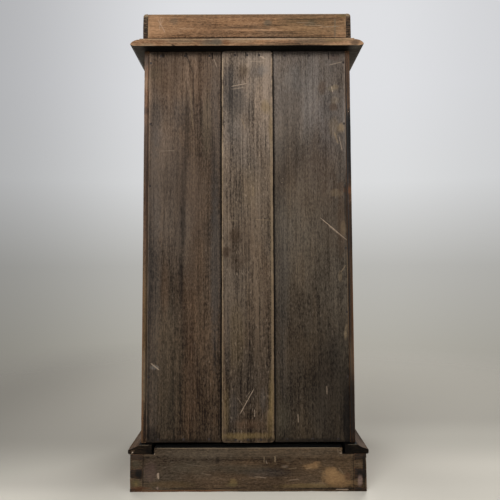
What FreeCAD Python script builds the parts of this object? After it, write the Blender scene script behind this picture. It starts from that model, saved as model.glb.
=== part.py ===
import FreeCAD, Part
import math
import operator
import os
from types import SimpleNamespace

import Sketcher

# A Victorian pot cupboard: a narrow bedside cupboard with a low gallery round its moulded top,
# a drawer over a panelled door, and a plinth with a moulding. Its front faces -Y, its back +Y.
# It stands on Z = 0, with the origin under the middle of its box.

SIZES = {
    # carcass
    "carcass_width": 356.0,
    "carcass_depth": 318.0,
    "carcass_height": 665.5,
    "side_thickness": 18.0,
    "housing_depth": 6.0,
    "housing_stop": 12.0,
    "bottom_thickness": 16.0,
    # top and its moulded edge
    "top_thickness": 13.0,
    "top_side_overhang": 20.5,
    "top_front_overhang": 22.0,
    "top_back_overhang": 25.0,
    "top_edge_width": 16.0,
    "top_edge_step": 1.5,
    "top_edge_lip": 3.0,
    "top_edge_nose": 1.5,
    # gallery
    "gallery_height": 46.0,
    "gallery_side_thickness": 8.5,
    "gallery_back_thickness": 12.0,
    "gallery_back_inset": 8.0,
    "gallery_front_inset": 4.0,
    "gallery_end_height": 16.0,
    "gallery_sweep_length": 64.0,
    "gallery_toe": 18.0,
    "gallery_toe_radius": 9.0,
    "gallery_edge_radius": 2.0,
    "gallery_corner_radius": 5.5,
    # top rails, which hold the top and keep the drawer level
    "top_rail_width": 50.0,
    "top_rail_thickness": 20.0,
    "kicker_width": 18.0,
    "rail_tail_length": 12.0,
    "rail_tail_root": 24.0,
    "rail_tail_flare": 4.0,
    # back boards
    "back_thickness": 10.0,
    "back_recess": 1.5,
    "back_lip": 8.0,
    "back_gap": 1.2,
    "back_lap": 8.0,
    "back_tongue": 5.0,
    "middle_board_width": 87.5,
    "middle_board_thickness": 13.0,
    "middle_corner_radius": 6.0,
    "board_end_clearance": 0.5,
    # nails
    "nail_width": 2.2,
    "nail_thickness": 1.6,
    "nail_length": 21.0,
    "nail_head_width": 3.6,
    "nail_head_thickness": 0.9,
    "edge_nail_pitch": 107.5,
    "edge_nail_start": 20.5,
    "edge_nail_inset": 3.0,
    "top_nail_inset": 8.0,
    "foot_nail_inset": 5.0,
    "end_nail_spacing": 42.5,
    "middle_nail_spacing": 20.8,
    # drawer opening and what carries the drawer
    "drawer_opening_height": 97.0,
    "divider_thickness": 18.0,
    "divider_width": 60.0,
    "runner_width": 18.0,
    "stop_length": 30.0,
    "stop_width": 12.0,
    "stop_height": 6.0,
    "stop_spacing": 150.0,
    "stop_gap": 0.3,
    # shelf
    "shelf_height": 262.0,
    "shelf_thickness": 14.0,
    "shelf_setback": 48.0,
    "shelf_clearance": 0.3,
    "bearer_width": 14.0,
    "bearer_height": 18.0,
    "bearer_inset": 12.0,
    "bearer_bevel": 12.0,
    # plinth
    "plinth_side_height": 60.0,
    "plinth_back_height": 70.5,
    "plinth_thickness": 20.0,
    "plinth_overhang": 16.0,
    "plinth_back_overhang": 9.0,
    "plinth_notch_gap": 4.5,
    "plinth_tail_low": 14.0,
    "plinth_tail_pitch": 30.0,
    "plinth_tail_root": 12.0,
    "plinth_tail_flare": 3.0,
    "glue_block_leg": 28.0,
    "glue_block_height": 54.0,
    "glue_block_lift": 4.0,
    # plinth moulding
    "moulding_thickness": 15.5,
    "moulding_width": 39.0,
    "moulding_overhang": 4.0,
    "moulding_nose": 3.0,
    "moulding_crest": 7.8,
    "moulding_crown": 1.5,
    "moulding_shoulder": 2.0,
    "moulding_quirk": 0.8,
    "moulding_hollow": 100.0,
    # door
    "door_thickness": 20.0,
    "door_gap": 1.5,
    "door_end_gap": 2.0,
    "face_recess": 0.5,
    "stile_width": 48.0,
    "door_top_rail_width": 50.0,
    "door_bottom_rail_width": 62.0,
    "tenon_length": 32.0,
    "tenon_shoulder": 8.0,
    "groove_width": 7.0,
    "groove_depth": 6.0,
    "panel_play": 0.1,
    "panel_end_play": 1.0,
    "panel_margin": 16.0,
    "panel_bevel": 16.0,
    "panel_field_recess": 2.0,
    "panel_field_step": 0.8,
    "panel_moulding_width": 12.0,
    "panel_moulding_flat": 2.0,
    "panel_moulding_toe": 1.4,
    # hinges
    "hinge_height": 50.0,
    "hinge_end_distance": 92.0,
    "leaf_width": 16.0,
    "leaf_thickness": 2.0,
    "knuckle_radius": 3.0,
    "knuckle_clearance": 0.4,
    "knuckle_gap": 0.3,
    "pin_radius": 1.5,
    "pin_clearance": 0.05,
    "pin_cap_radius": 2.7,
    "pin_cap_height": 1.8,
    # screws
    "screw_head_radius": 3.2,
    "screw_radius": 1.6,
    "screw_length": 14.0,
    "screw_spread": 16.0,
    "top_screw_radius": 2.2,
    "top_screw_head_radius": 4.4,
    "top_screw_head_height": 3.0,
    "top_screw_counterbore": 9.0,
    "top_screw_bite": 9.0,
    "top_screw_clearance": 0.1,
    "top_screw_spacing": 220.0,
    # knobs and latch
    "knob_length": 28.0,
    "knob_radius": 16.0,
    "knob_collar_radius": 9.0,
    "knob_collar_height": 2.5,
    "knob_collar_step": 0.8,
    "knob_bore_depth": 15.0,
    "knob_play": 0.3,
    "spindle_radius": 3.0,
    "spindle_clearance": 0.1,
    "latch_inset": 24.0,
    "tongue_length": 22.0,
    "tongue_width": 11.0,
    "tongue_thickness": 3.0,
    "tongue_clearance": 0.4,
    "door_stop_width": 12.0,
    "door_stop_depth": 10.0,
    "door_stop_gap": 0.3,
    "keeper_thickness": 1.2,
    "keeper_height": 30.0,
    "knob_screw_head_radius": 5.0,
    "knob_screw_head_height": 2.5,
    # drawer
    "drawer_front_thickness": 18.0,
    "drawer_side_thickness": 9.0,
    "drawer_back_clearance": 12.0,
    "drawer_front_lift": 0.8,
    "drawer_front_top_gap": 1.2,
    "drawer_side_lift": 0.3,
    "drawer_side_top_gap": 3.0,
    "drawer_lap_length": 12.0,
    "drawer_bottom_thickness": 5.0,
    "drawer_bottom_height": 8.0,
    "drawer_bottom_play": 0.1,
    "drawer_groove_depth": 4.5,
    "drawer_back_top_gap": 6.0,
    "drawer_tail_root": 14.0,
    "drawer_tail_flare": 2.0,
}

LEFT, RIGHT = -1, 1
TOLERANCE = 1e-5

# A knob's shape, as shares of its length and radius.
KNOB_SHOULDER = 0.5
KNOB_SHOULDER_WIDTH = 0.72
KNOB_CROWN = 0.7
KNOB_NECK = 0.63
KNOB_RIM = 0.3
KNOB_RIM_TURN = math.radians(60)

# How many of each there are.
HINGE_KNUCKLES = 5
DRAWER_TAILS = 3
PLINTH_TAILS = 2
EDGE_NAILS = 6

document = FreeCAD.newDocument("pot_cupboard")
sheet = document.addObject("Spreadsheet::Sheet", "sizes")
nodes = {}
origins = {}


class Size:
    """A length in millimetres that carries the spreadsheet expression it comes from."""

    def __init__(self, value, text):
        self.value = value
        self.text = text

    def __add__(self, other):
        return combined(self, "+", other)

    def __radd__(self, other):
        return combined(other, "+", self)

    def __sub__(self, other):
        return combined(self, "-", other)

    def __rsub__(self, other):
        return combined(other, "-", self)

    def __mul__(self, other):
        return combined(self, "*", other)

    def __rmul__(self, other):
        return combined(other, "*", self)

    def __truediv__(self, other):
        return combined(self, "/", other)

    def __neg__(self):
        return combined(0, "-", self)


OPERATIONS = {"+": operator.add, "-": operator.sub, "*": operator.mul, "/": operator.truediv}


def as_size(number):
    """A plain number as a Size, and a Size as it is."""
    return number if isinstance(number, Size) else Size(float(number), f"{number}")


def combined(first, sign, second):
    """The Size that comes from joining two lengths with an arithmetic sign."""
    a, b = as_size(first), as_size(second)
    return Size(OPERATIONS[sign](a.value, b.value), f"({a.text} {sign} {b.text})")


def read_sizes():
    """Fills the spreadsheet and gives each of its cells back as a Size."""
    for row, (name, value) in enumerate(SIZES.items(), start=1):
        sheet.set(f"A{row}", str(value))
        sheet.setAlias(f"A{row}", name)
    document.recompute()
    return SimpleNamespace(**{name: Size(float(sheet.get(name)), f"sizes.{name}") for name in SIZES})


d = read_sizes()

# Places that several pieces share, worked out from the driving sizes.

half = d.carcass_width / 2
inner = half - d.side_thickness
housed = inner + d.housing_depth
front = (d.knob_length - d.face_recess - d.top_back_overhang - d.carcass_depth) / 2
rear = front + d.carcass_depth
back_inside = rear - d.back_recess - d.back_thickness
back_outside = back_inside + d.back_thickness

base = d.plinth_side_height + d.moulding_thickness
floor_top = base + d.bottom_thickness
top_under = base + d.carcass_height
top_surface = top_under + d.top_thickness
rail_under = top_under - d.top_rail_thickness
divider_top = rail_under - d.drawer_opening_height
divider_under = divider_top - d.divider_thickness
shelf_under = floor_top + d.shelf_height - d.shelf_thickness
shelf_top = shelf_under + d.shelf_thickness

top_half = half + d.top_side_overhang
top_front = front - d.top_front_overhang
top_back = rear + d.top_back_overhang

plinth_half = half + d.plinth_overhang
plinth_inner = plinth_half - d.plinth_thickness
plinth_front = front - d.plinth_overhang
plinth_back = rear + d.plinth_back_overhang
moulding_half = plinth_half + d.moulding_overhang
moulding_inner = moulding_half - d.moulding_width
moulding_front = plinth_front - d.moulding_overhang

face = front + d.face_recess
door_half = inner - d.door_gap
door_back = face + d.door_thickness
door_low = floor_top + d.door_end_gap
door_high = divider_under - d.door_end_gap
groove_front = face + (d.door_thickness - d.groove_width) / 2
groove_back = groove_front + d.groove_width
panel_low = door_low + d.door_bottom_rail_width
panel_high = door_high - d.door_top_rail_width
panel_half = door_half - d.stile_width
panel_front = groove_front + d.panel_play

pin_x = -(inner - d.door_gap / 2)
pin_y = front - d.knuckle_radius - d.knuckle_clearance
leaf_back = front + d.leaf_width
hinge_centres = {"upper": door_high - d.hinge_end_distance, "lower": door_low + d.hinge_end_distance}

latch_x = door_half - d.latch_inset
latch_z = (door_low + door_high) / 2
stop_front = door_back + d.door_stop_gap
stop_back = stop_front + d.door_stop_depth
keeper_back = stop_back + d.keeper_thickness
tongue_front = keeper_back + d.tongue_clearance
tongue_back = tongue_front + d.tongue_thickness

drawer_inside = face + d.drawer_front_thickness
drawer_rear = back_inside - d.drawer_back_clearance
drawer_back_front = drawer_rear - d.drawer_side_thickness
drawer_inner = door_half - d.drawer_side_thickness
drawer_side_low = divider_top + d.drawer_side_lift
drawer_side_high = rail_under - d.drawer_side_top_gap
drawer_front_low = divider_top + d.drawer_front_lift
drawer_front_high = rail_under - d.drawer_front_top_gap
drawer_groove_low = drawer_side_low + d.drawer_bottom_height
drawer_groove_high = drawer_groove_low + d.drawer_bottom_thickness + 2 * d.drawer_bottom_play
drawer_knob_z = (drawer_front_low + drawer_front_high) / 2

# How each sketch plane lies: the two axes it spans, the axis it faces, and whether it faces
# up or down that axis.
PLANES = {
    "XY_Plane": ("x", "y", "z", "up"),
    "XZ_Plane": ("x", "z", "y", "down"),
    "YZ_Plane": ("y", "z", "x", "up"),
}


def span(side, low, high):
    """A stretch of X on one side of the cupboard, measured outwards from its middle."""
    return (low, high) if side == RIGHT else (-high, -low)


def both(reach):
    """A stretch that lies evenly about zero."""
    return (-reach, reach)


def about(centre, width):
    """A stretch of a given width about a centre."""
    return (centre - width / 2, centre + width / 2)


def box(across, along):
    """The four corners of a rectangle that spans two stretches."""
    return [
        (across[0], along[0]),
        (across[1], along[0]),
        (across[1], along[1]),
        (across[0], along[1]),
    ]


def new_body(label, origin):
    """An empty body whose own origin lies at a place in the cupboard."""
    body = document.addObject("PartDesign::Body", label)
    body.Label = label
    origin = [as_size(place) for place in origin]
    body.Placement = FreeCAD.Placement(FreeCAD.Vector(*(place.value for place in origin)), FreeCAD.Rotation())
    origins[body.Name] = dict(zip("xyz", origin))
    for axis, place in origins[body.Name].items():
        body.setExpression(f"Placement.Base.{axis}", place.text)
    nodes[label] = body
    return body


def new_sketch(body, role, offset):
    """A sketch on one of a body's own planes, moved along the way that the plane faces."""
    plane = next(feature for feature in body.Origin.OriginFeatures if feature.Role == role)
    sketch = body.newObject("Sketcher::SketchObject", "outline")
    sketch.AttachmentSupport = [(plane, "")]
    sketch.MapMode = "FlatFace"
    sketch.AttachmentOffset = FreeCAD.Placement(FreeCAD.Vector(0, 0, offset.value), FreeCAD.Rotation())
    sketch.setExpression("AttachmentOffset.Base.z", offset.text)
    return sketch


def dimension(sketch, kind, where, size):
    """Adds a dimension whose value comes from the spreadsheet."""
    index = sketch.addConstraint(Sketcher.Constraint(kind, *where, size.value))
    sketch.setExpression(f"Constraints[{index}]", size.text)


def arc_between(start, end, radius, turn):
    """The short arc from start to end that turns left or right, as a sketch draws it."""
    middle = (start + end) * 0.5
    chord = end - start
    rise = math.sqrt(max(radius**2 - (chord.Length / 2) ** 2, 0))
    sideways = FreeCAD.Vector(-chord.y, chord.x, 0).normalize()
    centre = middle - sideways * rise * turn
    first, last = (start, end) if turn == LEFT else (end, start)
    angles = [math.atan2(point.y - centre.y, point.x - centre.x) for point in (first, last)]
    return Part.ArcOfCircle(Part.Circle(centre, FreeCAD.Vector(0, 0, 1), radius), *angles)


def draw(sketch, corners):
    """Draws a closed outline. A corner is (x, y), or (x, y, radius, turn) where an arc leads to it."""
    corners = [(as_size(corner[0]), as_size(corner[1]), *corner[2:]) for corner in corners]
    points = [FreeCAD.Vector(corner[0].value, corner[1].value, 0) for corner in corners]
    ends = []
    for index, corner in enumerate(corners):
        start, end = points[index - 1], points[index]
        if len(corner) == 2:
            sketch.addGeometry(Part.LineSegment(start, end), False)
            ends.append((1, 2))
        else:
            radius, turn = as_size(corner[2]), corner[3]
            sketch.addGeometry(arc_between(start, end, radius.value, turn), False)
            ends.append((1, 2) if turn == LEFT else (2, 1))
    for index in range(len(corners)):
        following = (index + 1) % len(corners)
        joint = (index, ends[index][1], following, ends[following][0])
        sketch.addConstraint(Sketcher.Constraint("Coincident", *joint))
    for index, corner in enumerate(corners):
        corner_point = (-1, 1, index, ends[index][1])
        dimension(sketch, "DistanceX", corner_point, corner[0])
        dimension(sketch, "DistanceY", corner_point, corner[1])
        if len(corner) > 2:
            dimension(sketch, "Radius", (index,), as_size(corner[2]))


def raised(body, kind, sketch, length):
    """Turns a sketch into a pad or a pocket that reaches along the way the sketch faces."""
    feature = body.newObject(f"PartDesign::{kind}", kind.lower())
    feature.Profile = sketch
    feature.Length = length.value
    feature.setExpression("Length", length.text)
    feature.Reversed = kind == "Pocket"
    body.Tip = feature


def sketch_for(body, plane, reach):
    """A sketch at the end of a reach that it can be raised along, where its own axes start, and how far."""
    across, up, along, faces = PLANES[plane]
    origin = origins[body.Name]
    low, high = reach[0] - origin[along], reach[1] - origin[along]
    sketch = new_sketch(body, plane, low if faces == "up" else -high)
    return sketch, (origin[across], origin[up]), high - low


def extrude(body, plane, corners, reach, kind="Pad"):
    """Adds or cuts a prism, given its outline and its reach in the cupboard's own coordinates."""
    sketch, start, length = sketch_for(body, plane, reach)
    draw(sketch, [(x - start[0], y - start[1], *rest) for x, y, *rest in corners])
    raised(body, kind, sketch, length)


def rod(body, plane, centre, radius, reach, kind="Pad"):
    """Adds or cuts a cylinder, given its centre and its reach in the cupboard's own coordinates."""
    sketch, start, length = sketch_for(body, plane, reach)
    x, y = centre[0] - start[0], centre[1] - start[1]
    normal = FreeCAD.Vector(0, 0, 1)
    sketch.addGeometry(Part.Circle(FreeCAD.Vector(x.value, y.value, 0), normal, radius.value), False)
    dimension(sketch, "DistanceX", (-1, 1, 0, 3), x)
    dimension(sketch, "DistanceY", (-1, 1, 0, 3), y)
    dimension(sketch, "Radius", (0,), radius)
    raised(body, kind, sketch, length)


def countersink(body, centre, outwards):
    """Cuts a screw's cone into a leaf that lies square to X, wide at the face that looks outwards."""
    cone = body.newObject("PartDesign::SubtractiveCone", "countersink")
    depth = d.screw_head_radius - d.screw_radius
    cone.setExpression("Radius1", d.screw_head_radius.text)
    cone.setExpression("Radius2", d.screw_radius.text)
    cone.setExpression("Height", depth.text)
    inwards = FreeCAD.Rotation(FreeCAD.Vector(0, 0, 1), FreeCAD.Vector(-outwards, 0, 0))
    place = {axis: at - origins[body.Name][axis] for axis, at in zip("xyz", centre)}
    cone.Placement = FreeCAD.Placement(FreeCAD.Vector(*(at.value for at in place.values())), inwards)
    for axis, at in place.items():
        cone.setExpression(f"Placement.Base.{axis}", at.text)
    body.Tip = cone


def board(label, x, y, z):
    """A body that starts as a plain board, drawn from its own lowest corner."""
    x, y, z = ([as_size(end) for end in ends] for ends in (x, y, z))
    body = new_body(label, (x[0], y[0], z[0]))
    extrude(body, "XY_Plane", box(x, y), z)
    return body


def add_block(body, x, y, z):
    """Adds a square block, such as a tenon."""
    extrude(body, "XY_Plane", box(x, y), z)


def cut_block(body, x, y, z):
    """Cuts a square block away, such as a rebate, a housing or a mortise."""
    extrude(body, "XY_Plane", box(x, y), z, "Pocket")


def shape_of_box(x, y, z):
    """A plain box between three stretches."""
    low = [as_size(ends[0]).value for ends in (x, y, z)]
    sides = [as_size(ends[1] - ends[0]).value for ends in (x, y, z)]
    return Part.makeBox(*sides, FreeCAD.Vector(*low))


def group(label, shapes):
    """A node that holds several like pieces, each a solid of its own."""
    node = document.addObject("Part::Feature", label)
    node.Label = label
    node.Shape = Part.makeCompound(shapes)
    nodes[label] = node


def straight_edges(body, axis, places):
    """Names the edges that run along an axis through given places of the other two axes."""
    document.recompute()
    origin = origins[body.Name]
    others = [name for name in "xyz" if name != axis]
    wanted = [[at.value - origin[name].value for name, at in zip(others, place)] for place in places]
    names = []
    for number, edge in enumerate(body.Tip.Shape.Edges, start=1):
        ends = [vertex.Point for vertex in edge.Vertexes]
        if len(ends) < 2 or (ends[1] - ends[0]).Length - abs(getattr(ends[1] - ends[0], axis)) > TOLERANCE:
            continue
        spot = [getattr(ends[0], name) for name in others]
        if any(math.dist(spot, place) < TOLERANCE for place in wanted):
            names.append(f"Edge{number}")
    return names


def round_edges(body, radius, axis, places):
    """Rounds the edges that run along an axis through the given places."""
    rounded = body.Tip
    names = straight_edges(body, axis, places)
    fillet = body.newObject("PartDesign::Fillet", "rounding")
    fillet.Base = (rounded, names)
    fillet.Radius = radius.value
    fillet.setExpression("Radius", radius.text)
    body.Tip = fillet


# The top and its gallery.


def edge_waste(outer, turn):
    """What a thumbnail moulding leaves off the top's edge, seen along that edge."""
    inwards = -1 if turn == RIGHT else 1
    beyond = outer - inwards * d.top_edge_step
    step = outer + inwards * d.top_edge_width
    shoulder = top_surface - d.top_edge_step
    lip = top_under + d.top_edge_lip
    radius = arc_radius(d.top_edge_width, shoulder - lip)
    above = top_surface + d.top_edge_step
    return [(step, above), (step, shoulder), (outer, lip, radius, turn), (beyond, lip), (beyond, above)]


def make_top():
    body = board("top_board", both(top_half), (top_front, top_back), (top_under, top_surface))
    depth = (top_front, top_back)
    extrude(body, "XZ_Plane", edge_waste(top_half, RIGHT), depth, "Pocket")
    extrude(body, "XZ_Plane", edge_waste(-top_half, LEFT), depth, "Pocket")
    extrude(body, "YZ_Plane", edge_waste(top_front, LEFT), both(top_half), "Pocket")
    round_edges(body, d.top_edge_nose, "y", [(-top_half, top_under), (top_half, top_under)])


def make_gallery():
    gallery_top = top_surface + d.gallery_height
    gallery_back = top_back - d.gallery_back_inset
    back_front = gallery_back - d.gallery_back_thickness
    side_inside = half - d.gallery_side_thickness
    height = (top_surface, gallery_top)
    body = board("gallery_back", both(side_inside), (back_front, gallery_back), height)
    round_edges(body, d.gallery_edge_radius, "x", [(back_front, gallery_top), (gallery_back, gallery_top)])

    front_end = front + d.gallery_front_inset
    low = top_surface + d.gallery_end_height
    sweep_front = front_end + d.gallery_toe
    sweep_back = sweep_front + d.gallery_sweep_length
    run, drop = d.gallery_sweep_length / 2, (gallery_top - low) / 2
    radius = arc_radius(run, drop)
    outline = [
        (gallery_back, top_surface),
        (gallery_back, gallery_top),
        (sweep_back, gallery_top),
        (sweep_back - run, gallery_top - drop, radius, LEFT),
        (sweep_front, low, radius, RIGHT),
        (front_end + d.gallery_toe_radius, low),
        (front_end, low - d.gallery_toe_radius, d.gallery_toe_radius, LEFT),
        (front_end, top_surface),
    ]
    for side, name in ((LEFT, "left"), (RIGHT, "right")):
        reach = span(side, side_inside, half)
        body = new_body(f"gallery_side_{name}", (reach[0], front_end, top_surface))
        extrude(body, "YZ_Plane", outline, reach)
        outside = half if side == RIGHT else -half
        round_edges(body, d.gallery_corner_radius, "y", [(outside, gallery_top)])


# The carcass.


def rail_tail(side, centre):
    """The dovetail on a top rail's end, seen from above."""
    root, tip = inner, inner + d.rail_tail_length
    narrow, wide = d.rail_tail_root / 2, d.rail_tail_root / 2 + d.rail_tail_flare
    corners = [(root, centre - narrow), (tip, centre - wide), (tip, centre + wide), (root, centre + narrow)]
    return [(x if side == RIGHT else -x, y) for x, y in corners]


front_rail = (front, front + d.top_rail_width)
back_rail = (back_inside - d.top_rail_width, back_inside)
rail_centres = [(low + high) / 2 for low, high in (front_rail, back_rail)]
rail_height = (rail_under, top_under)
top_screw_places = [(x, y) for x in both(d.top_screw_spacing / 2) for y in rail_centres]


def make_side_panel(side, name):
    body = board(f"side_panel_{name}", span(side, inner, half), (front, rear), (base, top_under))
    housing = span(side, inner, housed)
    housing_run = (front + d.housing_stop, back_inside)
    cut_block(body, span(side, inner, half - d.back_lip), (back_inside, rear), (base, top_under))
    cut_block(body, housing, housing_run, (base, floor_top))
    cut_block(body, housing, housing_run, (divider_under, divider_top))
    for centre in rail_centres:
        extrude(body, "XY_Plane", rail_tail(side, centre), rail_height, "Pocket")
    if side == LEFT:
        for centre in hinge_centres.values():
            recess = (-inner - d.leaf_thickness, -inner)
            cut_block(body, recess, (front, leaf_back), about(centre, d.hinge_height))


def make_top_rails():
    for name, reach, centre in zip(("front", "back"), (front_rail, back_rail), rail_centres):
        body = board(f"top_rail_{name}", both(inner), reach, rail_height)
        for side in (LEFT, RIGHT):
            extrude(body, "XY_Plane", rail_tail(side, centre), rail_height)
        for x, y in top_screw_places:
            if y is centre:
                counterbore = (rail_under, rail_under + d.top_screw_counterbore)
                for radius, reach in (
                    (d.top_screw_head_radius, counterbore),
                    (d.top_screw_radius, rail_height),
                ):
                    rod(body, "XY_Plane", (x, y), radius + d.top_screw_clearance, reach, "Pocket")
    for side, name in ((LEFT, "left"), (RIGHT, "right")):
        across = span(side, inner - d.kicker_width, inner)
        board(f"drawer_kicker_{name}", across, (front_rail[1], back_rail[0]), rail_height)


def make_top_screws():
    """Screws from below: the head in the rail's counterbore, the shank through it into the top."""
    seat = (rail_under + d.top_screw_counterbore).value
    head = d.top_screw_head_height.value
    length = (top_under + d.top_screw_bite).value - seat
    shapes = []
    for x, y in top_screw_places:
        foot = FreeCAD.Vector(x.value, y.value, seat - head)
        shank = Part.makeCylinder(d.top_screw_radius.value, length + head, foot)
        shapes.append(Part.makeCylinder(d.top_screw_head_radius.value, head, foot).fuse(shank).removeSplitter())
    group("top_screws", shapes)


def housed_board(label, depth, height):
    """A board whose ends lie in the side panels' stopped housings, with its front corners cut back."""
    body = board(label, both(housed), depth, height)
    for side in (LEFT, RIGHT):
        cut_block(body, span(side, inner, housed), (front, front + d.housing_stop), height)


def make_runners():
    depth = (front + d.divider_width, back_inside)
    for side, name in ((LEFT, "left"), (RIGHT, "right")):
        across = span(side, inner - d.runner_width, housed)
        board(f"drawer_runner_{name}", across, depth, (divider_under, divider_top))
    stop_y = (drawer_inside + d.stop_gap, drawer_inside + d.stop_gap + d.stop_width)
    stop_z = (divider_top, divider_top + d.stop_height)
    centres = both(d.stop_spacing / 2)
    group("drawer_stops", [shape_of_box(about(x, d.stop_length), stop_y, stop_z) for x in centres])


def make_shelf():
    reach = (front + d.shelf_setback, back_inside - d.shelf_clearance)
    board("shelf", both(inner - d.shelf_clearance), reach, (shelf_under, shelf_top))
    low = shelf_under - d.bearer_height
    start, end = reach[0] + d.bearer_inset, back_inside
    outline = [
        (end, low),
        (end, shelf_under),
        (start, shelf_under),
        (start, shelf_under - d.bearer_height / 3),
        (start + d.bearer_bevel, low),
    ]
    for side, name in ((LEFT, "left"), (RIGHT, "right")):
        across = span(side, inner - d.bearer_width, inner)
        body = new_body(f"shelf_bearer_{name}", (across[0], start, low))
        extrude(body, "YZ_Plane", outline, across)


# The back.

middle_half = d.middle_board_width / 2
side_board_inner = middle_half + d.back_gap
board_low = base + d.board_end_clearance


def make_back_boards():
    height = (board_low, top_under)
    lap_inner = side_board_inner - d.back_lap
    for side, name in ((LEFT, "left"), (RIGHT, "right")):
        across = span(side, lap_inner, half - d.back_lip)
        body = board(f"back_board_{name}", across, (back_inside, back_outside), height)
        rebate = (back_inside + d.back_tongue, back_outside)
        cut_block(body, span(side, lap_inner, side_board_inner), rebate, height)

    outside = back_inside + d.middle_board_thickness
    body = board("back_board_middle", both(middle_half), (back_inside, outside), height)
    rebate = (back_inside, back_inside + d.back_tongue)
    for side in (LEFT, RIGHT):
        cut_block(body, span(side, lap_inner - d.back_gap / 2, middle_half), rebate, height)
    corners = [(x, z) for x in both(middle_half) for z in height]
    round_edges(body, d.middle_corner_radius, "y", corners)


def nail(x, y, z):
    """A cut nail driven inwards, with its head flush with the board at y."""
    wide, thick = d.nail_width.value, d.nail_thickness.value
    head_wide, head_thick = d.nail_head_width.value, d.nail_head_thickness.value
    shank_corner = FreeCAD.Vector(x.value - thick / 2, y.value - d.nail_length.value, z.value - wide / 2)
    shank = Part.makeBox(thick, d.nail_length.value, wide, shank_corner)
    head_corner = FreeCAD.Vector(x.value - head_wide / 2, y.value - head_thick, z.value - head_wide / 2)
    return shank.fuse(Part.makeBox(head_wide, head_thick, head_wide, head_corner)).removeSplitter()


def make_back_nails():
    """Nails down both edges into the side panels, and along the ends into the rail and the bottom board."""
    middle_face = back_inside + d.middle_board_thickness
    board_centre = (side_board_inner + half - d.back_lip) / 2
    shapes = []
    for side in (LEFT, RIGHT):
        edge_x = side * (half - d.back_lip - d.edge_nail_inset)
        highest = top_under - d.edge_nail_start
        shapes += [nail(edge_x, back_outside, highest - d.edge_nail_pitch * n) for n in range(EDGE_NAILS)]
    for z in (board_low + d.foot_nail_inset, top_under - d.top_nail_inset):
        for step in (-1, 0, 1):
            shapes.append(nail(step * d.middle_nail_spacing, middle_face, z))
            for side in (LEFT, RIGHT):
                shapes.append(nail(side * board_centre + step * d.end_nail_spacing, back_outside, z))
    group("back_nails", shapes)


# The plinth and its moulding.


def plinth_tail(side, number):
    """One dovetail on the back board's end, seen from behind: narrow at its root, wide at its tip."""
    centre = d.plinth_tail_low + d.plinth_tail_pitch * number
    narrow, wide = d.plinth_tail_root / 2, d.plinth_tail_root / 2 + d.plinth_tail_flare
    corners = [
        (plinth_inner, centre - narrow),
        (plinth_half, centre - wide),
        (plinth_half, centre + wide),
        (plinth_inner, centre + narrow),
    ]
    return [(x if side == RIGHT else -x, z) for x, z in corners]


def make_plinth():
    height = (as_size(0), d.plinth_side_height)
    joint = (plinth_back - d.plinth_thickness, plinth_back)
    for side, name in ((LEFT, "left"), (RIGHT, "right")):
        reach = span(side, plinth_inner, plinth_half)
        corners = [
            (plinth_half, plinth_front),
            (plinth_half, plinth_back),
            (plinth_inner, plinth_back),
            (plinth_inner, plinth_front + d.plinth_thickness),
        ]
        body = new_body(f"plinth_{name}", (reach[0], plinth_front, height[0]))
        extrude(body, "XY_Plane", [(side * x, y) for x, y in corners], height)
        for number in range(PLINTH_TAILS):
            extrude(body, "XZ_Plane", plinth_tail(side, number), joint, "Pocket")

    corners = [
        (-plinth_half, plinth_front),
        (plinth_half, plinth_front),
        (plinth_inner, plinth_front + d.plinth_thickness),
        (-plinth_inner, plinth_front + d.plinth_thickness),
    ]
    body = new_body("plinth_front", (-plinth_half, plinth_front, height[0]))
    extrude(body, "XY_Plane", corners, height)

    body = board("plinth_back", both(plinth_inner), joint, (height[0], d.plinth_back_height))
    for side in (LEFT, RIGHT):
        notch = span(side, moulding_inner - d.plinth_notch_gap, plinth_inner)
        cut_block(body, notch, joint, (d.plinth_side_height, d.plinth_back_height))
        for number in range(PLINTH_TAILS):
            extrude(body, "XZ_Plane", plinth_tail(side, number), joint)


def moulding_profile(outer, wall, turn):
    """The plinth moulding's section, from its outer edge to the flat that the carcass stands on."""
    inwards = -1 if turn == LEFT else 1
    low, high = d.plinth_side_height, base
    nose, crown = d.moulding_nose, d.moulding_crown
    crest = low + d.moulding_crest
    quirk = wall - inwards * d.moulding_shoulder
    other = LEFT if turn == RIGHT else RIGHT
    return [
        (outer + inwards * d.moulding_width, low),
        (outer + inwards * nose, low),
        (outer, low + nose, nose, turn),
        (outer, crest - crown),
        (outer + inwards * crown, crest, crown, turn),
        (quirk, high - d.moulding_quirk, d.moulding_hollow, other),
        (quirk, high),
        (outer + inwards * d.moulding_width, high),
    ]


def make_moulding():
    height = (d.plinth_side_height, base)
    mitre_end = moulding_front + d.moulding_width
    for side, name, turn in ((LEFT, "left", RIGHT), (RIGHT, "right", LEFT)):
        reach = span(side, moulding_inner, moulding_half)
        body = new_body(f"plinth_moulding_{name}", (reach[0], moulding_front, height[0]))
        profile = moulding_profile(side * moulding_half, side * half, turn)
        extrude(body, "XZ_Plane", profile, (moulding_front, plinth_back))
        waste = [(moulding_half, moulding_front), (moulding_inner, mitre_end), (moulding_inner, moulding_front)]
        extrude(body, "XY_Plane", [(side * x, y) for x, y in waste], height, "Pocket")

    body = new_body("plinth_moulding_front", (-moulding_half, moulding_front, height[0]))
    extrude(body, "YZ_Plane", moulding_profile(moulding_front, front, RIGHT), both(moulding_half))
    for side in (LEFT, RIGHT):
        waste = [(moulding_half, moulding_front), (moulding_half, mitre_end), (moulding_inner, mitre_end)]
        extrude(body, "XY_Plane", [(side * x, y) for x, y in waste], height, "Pocket")


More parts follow.
